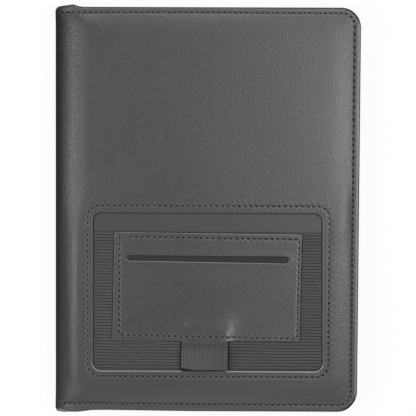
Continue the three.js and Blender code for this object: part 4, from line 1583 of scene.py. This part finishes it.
def documentPocketPiece():
    n, top = notch, documentHigh[1]
    corners = boxCorners(documentLow, documentHigh)
    corners[1:1] = [(n["x"] - n["r"], top), (n["x"] - n["r"], top - n["r"]), (n["x"] + n["r"], top - n["r"]),
                    (n["x"] + n["r"], top)]
    radii = [1.0, 1.2, n["r"] - 0.1, n["r"] - 0.1, 1.2, 1.0, 9.4, 1.0]
    return flatPanel("documentPocket", corners, radii, documentLevel, 0.6, "lining", -1)


def mouthSeams():
    # the hem along the pocket's mouth, beside the notch
    n, y = notch, documentHigh[1] - 2.6
    parts = [((documentLow[0] + 2.5, y), (n["x"] - n["r"] - 3, y)),
             ((n["x"] + n["r"] + 3, y), (documentHigh[0] - 5.5, y))]

    def level(x, y):
        return documentLevel(x, y) + 0.1

    return [straightSeam(start, end, level) for start, end in parts]


documentPocket = documentPocketPiece()
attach(documentPocket, "front_cover")
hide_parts("document_pocket")
cardSeams = mouthSeams()
for number in (1, 2, 3):
    low, high = spanOf(f"card_strip_{number}")

    def stripLevel(x, y, low=low, high=high):
        # the upper part steps over the strip behind it
        back = high[2] - 0.7
        step = (low[2] - back) * smooth((y - low[1] - 11) / 5)
        return back + step + 0.03 * waves(x, y, 30, 43)

    strip = flatPanel(f"cardStrip{number}", boxCorners(low, high), [1.2] * 4, stripLevel, 0.6,
                      "inner", -1, 3.0)
    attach(strip, "front_cover")
    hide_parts(f"card_strip_{number}")
    for x in (low[0] + 2, high[0] - 2):
        foot = low[1] + 1.5 if number == 1 else high[1] - 14
        cardSeams.append(straightSeam((x, foot), (x, high[1] - 1.5), stripLevel))
    if number == 1:
        cardSeams.append(straightSeam((low[0] + 2, low[1] + 1.5), (high[0] - 2, low[1] + 1.5), stripLevel))

padPocketLow, padPocketHigh = spanOf("pad_pocket")


def padPocketLevel(x, y):
    # the panel lies on the lining at its sides and foot, and steps up over the pad's board
    low, high = padPocketLow, padPocketHigh
    step = smooth((x - low[0] - 0.5) / 2) * smooth((high[0] - x - 2) / 4) * smooth((y - low[1] - 3) / 6)
    return 5.6 + (high[2] - 5.6) * step


def padPocketPiece():
    corners = boxCorners(padPocketLow, padPocketHigh)
    return flatPanel("padPocket", corners, [1.0, 1.0, 9.4, 1.0], padPocketLevel, 0.6, "lining", 1, 2.4)


padPocket = padPocketPiece()
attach(padPocket, "back_cover")
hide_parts("pad_pocket")

sheetLow, sheetHigh = spanOf("pad_sheets")
stack = {"count": 30, "paper": 0.1, "slip": 0.12}


def padSheetsPiece():
    seed = makePiece("padSheets", [(0, 0, 0)], [])
    middle = (sheetLow + sheetHigh) / 2
    size = sheetHigh - sheetLow
    return grown(seed, trees["sheets"], {
        "Count": stack["count"], "Width": (size[0] - 2 * stack["slip"]) * mm,
        "Length": (size[1] - 2 * stack["slip"]) * mm, "Paper": stack["paper"] * mm,
        "Bottom": (sheetLow[2] + stack["paper"] / 2) * mm, "Raised": (padPocketHigh[2] + 0.15) * mm,
        "Top": (sheetHigh[2] - stack["paper"] / 2) * mm, "Bend At": (padPocketHigh[1] + 2) * mm,
        "Middle": (middle[0] * mm, middle[1] * mm, 0.0), "Slip": stack["slip"] * mm, "Seed": 17,
        "Look": looks["paper"]})


padSheets = padSheetsPiece()
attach(padSheets, "notepad")
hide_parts("pad_sheets")
tapeLow, tapeHigh = spanOf("pad_tape")


def padTapePiece():
    # cloth tape over the head of the pad, from the first sheet down to the board
    low, high, thick = tapeLow, tapeHigh, 0.25
    path = [(low[1], high[2] - thick), (low[1] + 0.15, high[2] - 0.06), (low[1] + 0.5, high[2])]
    path += [(y, high[2]) for y in np.linspace(low[1] + 1.5, high[1] - 0.6, 7)]
    path += [(high[1] - 0.6 + 0.6 * math.sin(a), high[2] - 0.6 + 0.6 * math.cos(a))
             for a in np.linspace(0, math.pi / 2, 6)[1:]]
    path += [(high[1], z) for z in np.linspace(high[2] - 1.2, low[2] + 0.05, 6)]
    path = np.array(path)
    xs = np.linspace(low[0], high[0], 80)
    x = np.repeat(xs, len(path))
    y, z = np.tile(path, (len(xs), 1)).T
    near = smooth((y - low[1]) / 1.0)
    y = y + 0.15 * waves(x, y * 0, 20, 51) * (1 - near)
    z = z - 0.03 * (1 + waves(x, y, 18, 52)) * near * (z > high[2] - 0.3)
    faces = gridFaces(len(xs), len(path))[:, [0, 3, 2, 1]]
    return thickened(makePiece("padTape", np.stack([x, y, z], 1), faces, looks["tape"]), thick * 0.9)


padTape = padTapePiece()
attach(padTape, "notepad")
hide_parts("pad_tape")


def insideSeamPiece(name, onFront):
    # the cover's own seam comes through the lining, over the pockets where they lie
    part, share, _ = coverSeamTrack.evenly(shape["stitch"] / 2, 2)
    s, y = coverSeamTrack.at(part, share).T
    x = outer.xAt(s)
    keep = np.flatnonzero(x > -70.0)
    keep = keep[keep[0] % 2:]
    x, y = x[keep], y[keep]
    sunk = 0.13
    if onFront:
        over = (x > documentLow[0]) & (y < documentHigh[1] - 1)
        z = np.where(over, documentLevel(x, y), innerShape["face"]) + sunk
    else:
        over = (x > padPocketLow[0]) & (y < padPocketHigh[1] - 1)
        z = np.where(over, padPocketLevel(x, y), closed["thick"] - innerShape["face"]) - sunk
    around = (np.stack([x, y, z], 1), upOrDown(len(x), -1.0 if onFront else 1.0))
    runs = [around] + (cardSeams if onFront else [])
    return sewnSeam(name, runs, 13 if onFront else 14, flat=0.4)


frontInsideSeam = insideSeamPiece("frontInsideSeam", True)
backInsideSeam = insideSeamPiece("backInsideSeam", False)
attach(frontInsideSeam, "front_cover")
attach(backInsideSeam, "back_cover")
for node in ("front_board", "back_board", "spine_board", "pad_board"):
    for socket in frame["nodes"][node].material_slots:
        socket.material = looks["board"]
print("inside made")

# Floor, lamps and camera

floorSize = 3.0
floorMesh = bpy.data.meshes.new("floor")
floorCorners = [(x * floorSize, y * floorSize, -0.0002) for x, y in ((-1, -1), (1, -1), (1, 1), (-1, 1))]
floorMesh.from_pydata(floorCorners, [], [(0, 1, 2, 3)])
floor = bpy.data.objects.new("floor", floorMesh)
bpy.context.scene.collection.objects.link(floor)
floorLook = bpy.data.materials.new("floorLook")
floorLook.use_nodes = True
floorGraph = Graph(floorLook.node_tree)
floorShader = floorLook.node_tree.nodes["Principled BSDF"]
floorShader.inputs["Roughness"].default_value = 0.9
seen = floorGraph.node("ShaderNodeLightPath", {}, {}, "Is Camera Ray")
floorGraph.feed(floorShader.inputs["Base Color"], floorGraph.even(0.02 + seen * 0.78))
white = floorGraph.node("ShaderNodeEmission", {}, {"Color": (1, 1, 1, 1), "Strength": 1.0})
floorMix = floorGraph.node("ShaderNodeMixShader", {}, {
    0: seen * 0.9, 1: Wire(floorGraph, floorShader.outputs[0]), 2: white})
floorGraph.feed(floorLook.node_tree.nodes["Material Output"].inputs["Surface"], floorMix)
floorMesh.materials.append(floorLook)

world = bpy.data.worlds.new("studio")
bpy.context.scene.world = world
world.use_nodes = True
worldGraph = Graph(world.node_tree)
ambient = 0.243  # straight above, and fading to nothing at the horizon
dark, above, shown = [
    worldGraph.node("ShaderNodeBackground", {}, {"Color": (1, 1, 1, 1), "Strength": strength})
    for strength in (0.01, ambient, 1.0)]
height = worldGraph.parts(worldGraph.node("ShaderNodeTexCoord", {}, {}, "Generated"))[2].clamped()
lit = worldGraph.node("ShaderNodeMixShader", {}, {0: height, 1: dark, 2: above})
cameraRay = worldGraph.node("ShaderNodeLightPath", {}, {}, "Is Camera Ray")
worldMix = worldGraph.node("ShaderNodeMixShader", {}, {0: cameraRay, 1: lit, 2: shown})
worldGraph.feed(world.node_tree.nodes["World Output"].inputs["Surface"], worldMix)

lamps = {
    "lampRight": {"place": (0.3, 0.05, 0.74), "size": (0.45, 0.2), "power": 3.4},
    "lampLeft": {"place": (-0.42, -0.02, 0.68), "size": (0.45, 0.16), "power": 2.3},
    "lampHead": {"place": (0.0, 0.64, 0.77), "size": (0.25, 0.25), "power": 2.85},
    "lampFoot": {"place": (0.0, -0.55, 0.72), "size": (0.2, 0.2), "power": 0.9},
    "lampSpine": {"place": (-0.3, -0.35, 0.07), "size": (0.15, 0.1), "power": 0.65},
}
for name, lamp in lamps.items():
    light = bpy.data.lights.new(name, "AREA")
    light.shape = "RECTANGLE"
    light.size, light.size_y = lamp["size"]
    light.energy = lamp["power"]
    holder = bpy.data.objects.new(name, light)
    holder.location = lamp["place"]
    holder.rotation_euler = Vector(lamp["place"]).to_track_quat("Z", "Y").to_euler()
    holder.visible_camera = False
    bpy.context.scene.collection.objects.link(holder)

view = {"place": (0.01716, 0.03966, 0.8), "tilt": -0.04914, "pan": 0.02087, "roll": 0.00535, "lens": 115.996}
camera = bpy.data.cameras.new("camera")
camera.lens = view["lens"]
camera.sensor_width = 36
camera.clip_start = 0.01
cameraHolder = bpy.data.objects.new("camera", camera)
cameraHolder.matrix_world = (Matrix.Translation(view["place"]) @ Matrix.Rotation(view["pan"], 4, "Y")
                             @ Matrix.Rotation(view["tilt"], 4, "X") @ Matrix.Rotation(view["roll"], 4, "Z"))
bpy.context.scene.collection.objects.link(cameraHolder)
bpy.context.scene.camera = cameraHolder
bpy.context.scene.view_settings.view_transform = "Standard"
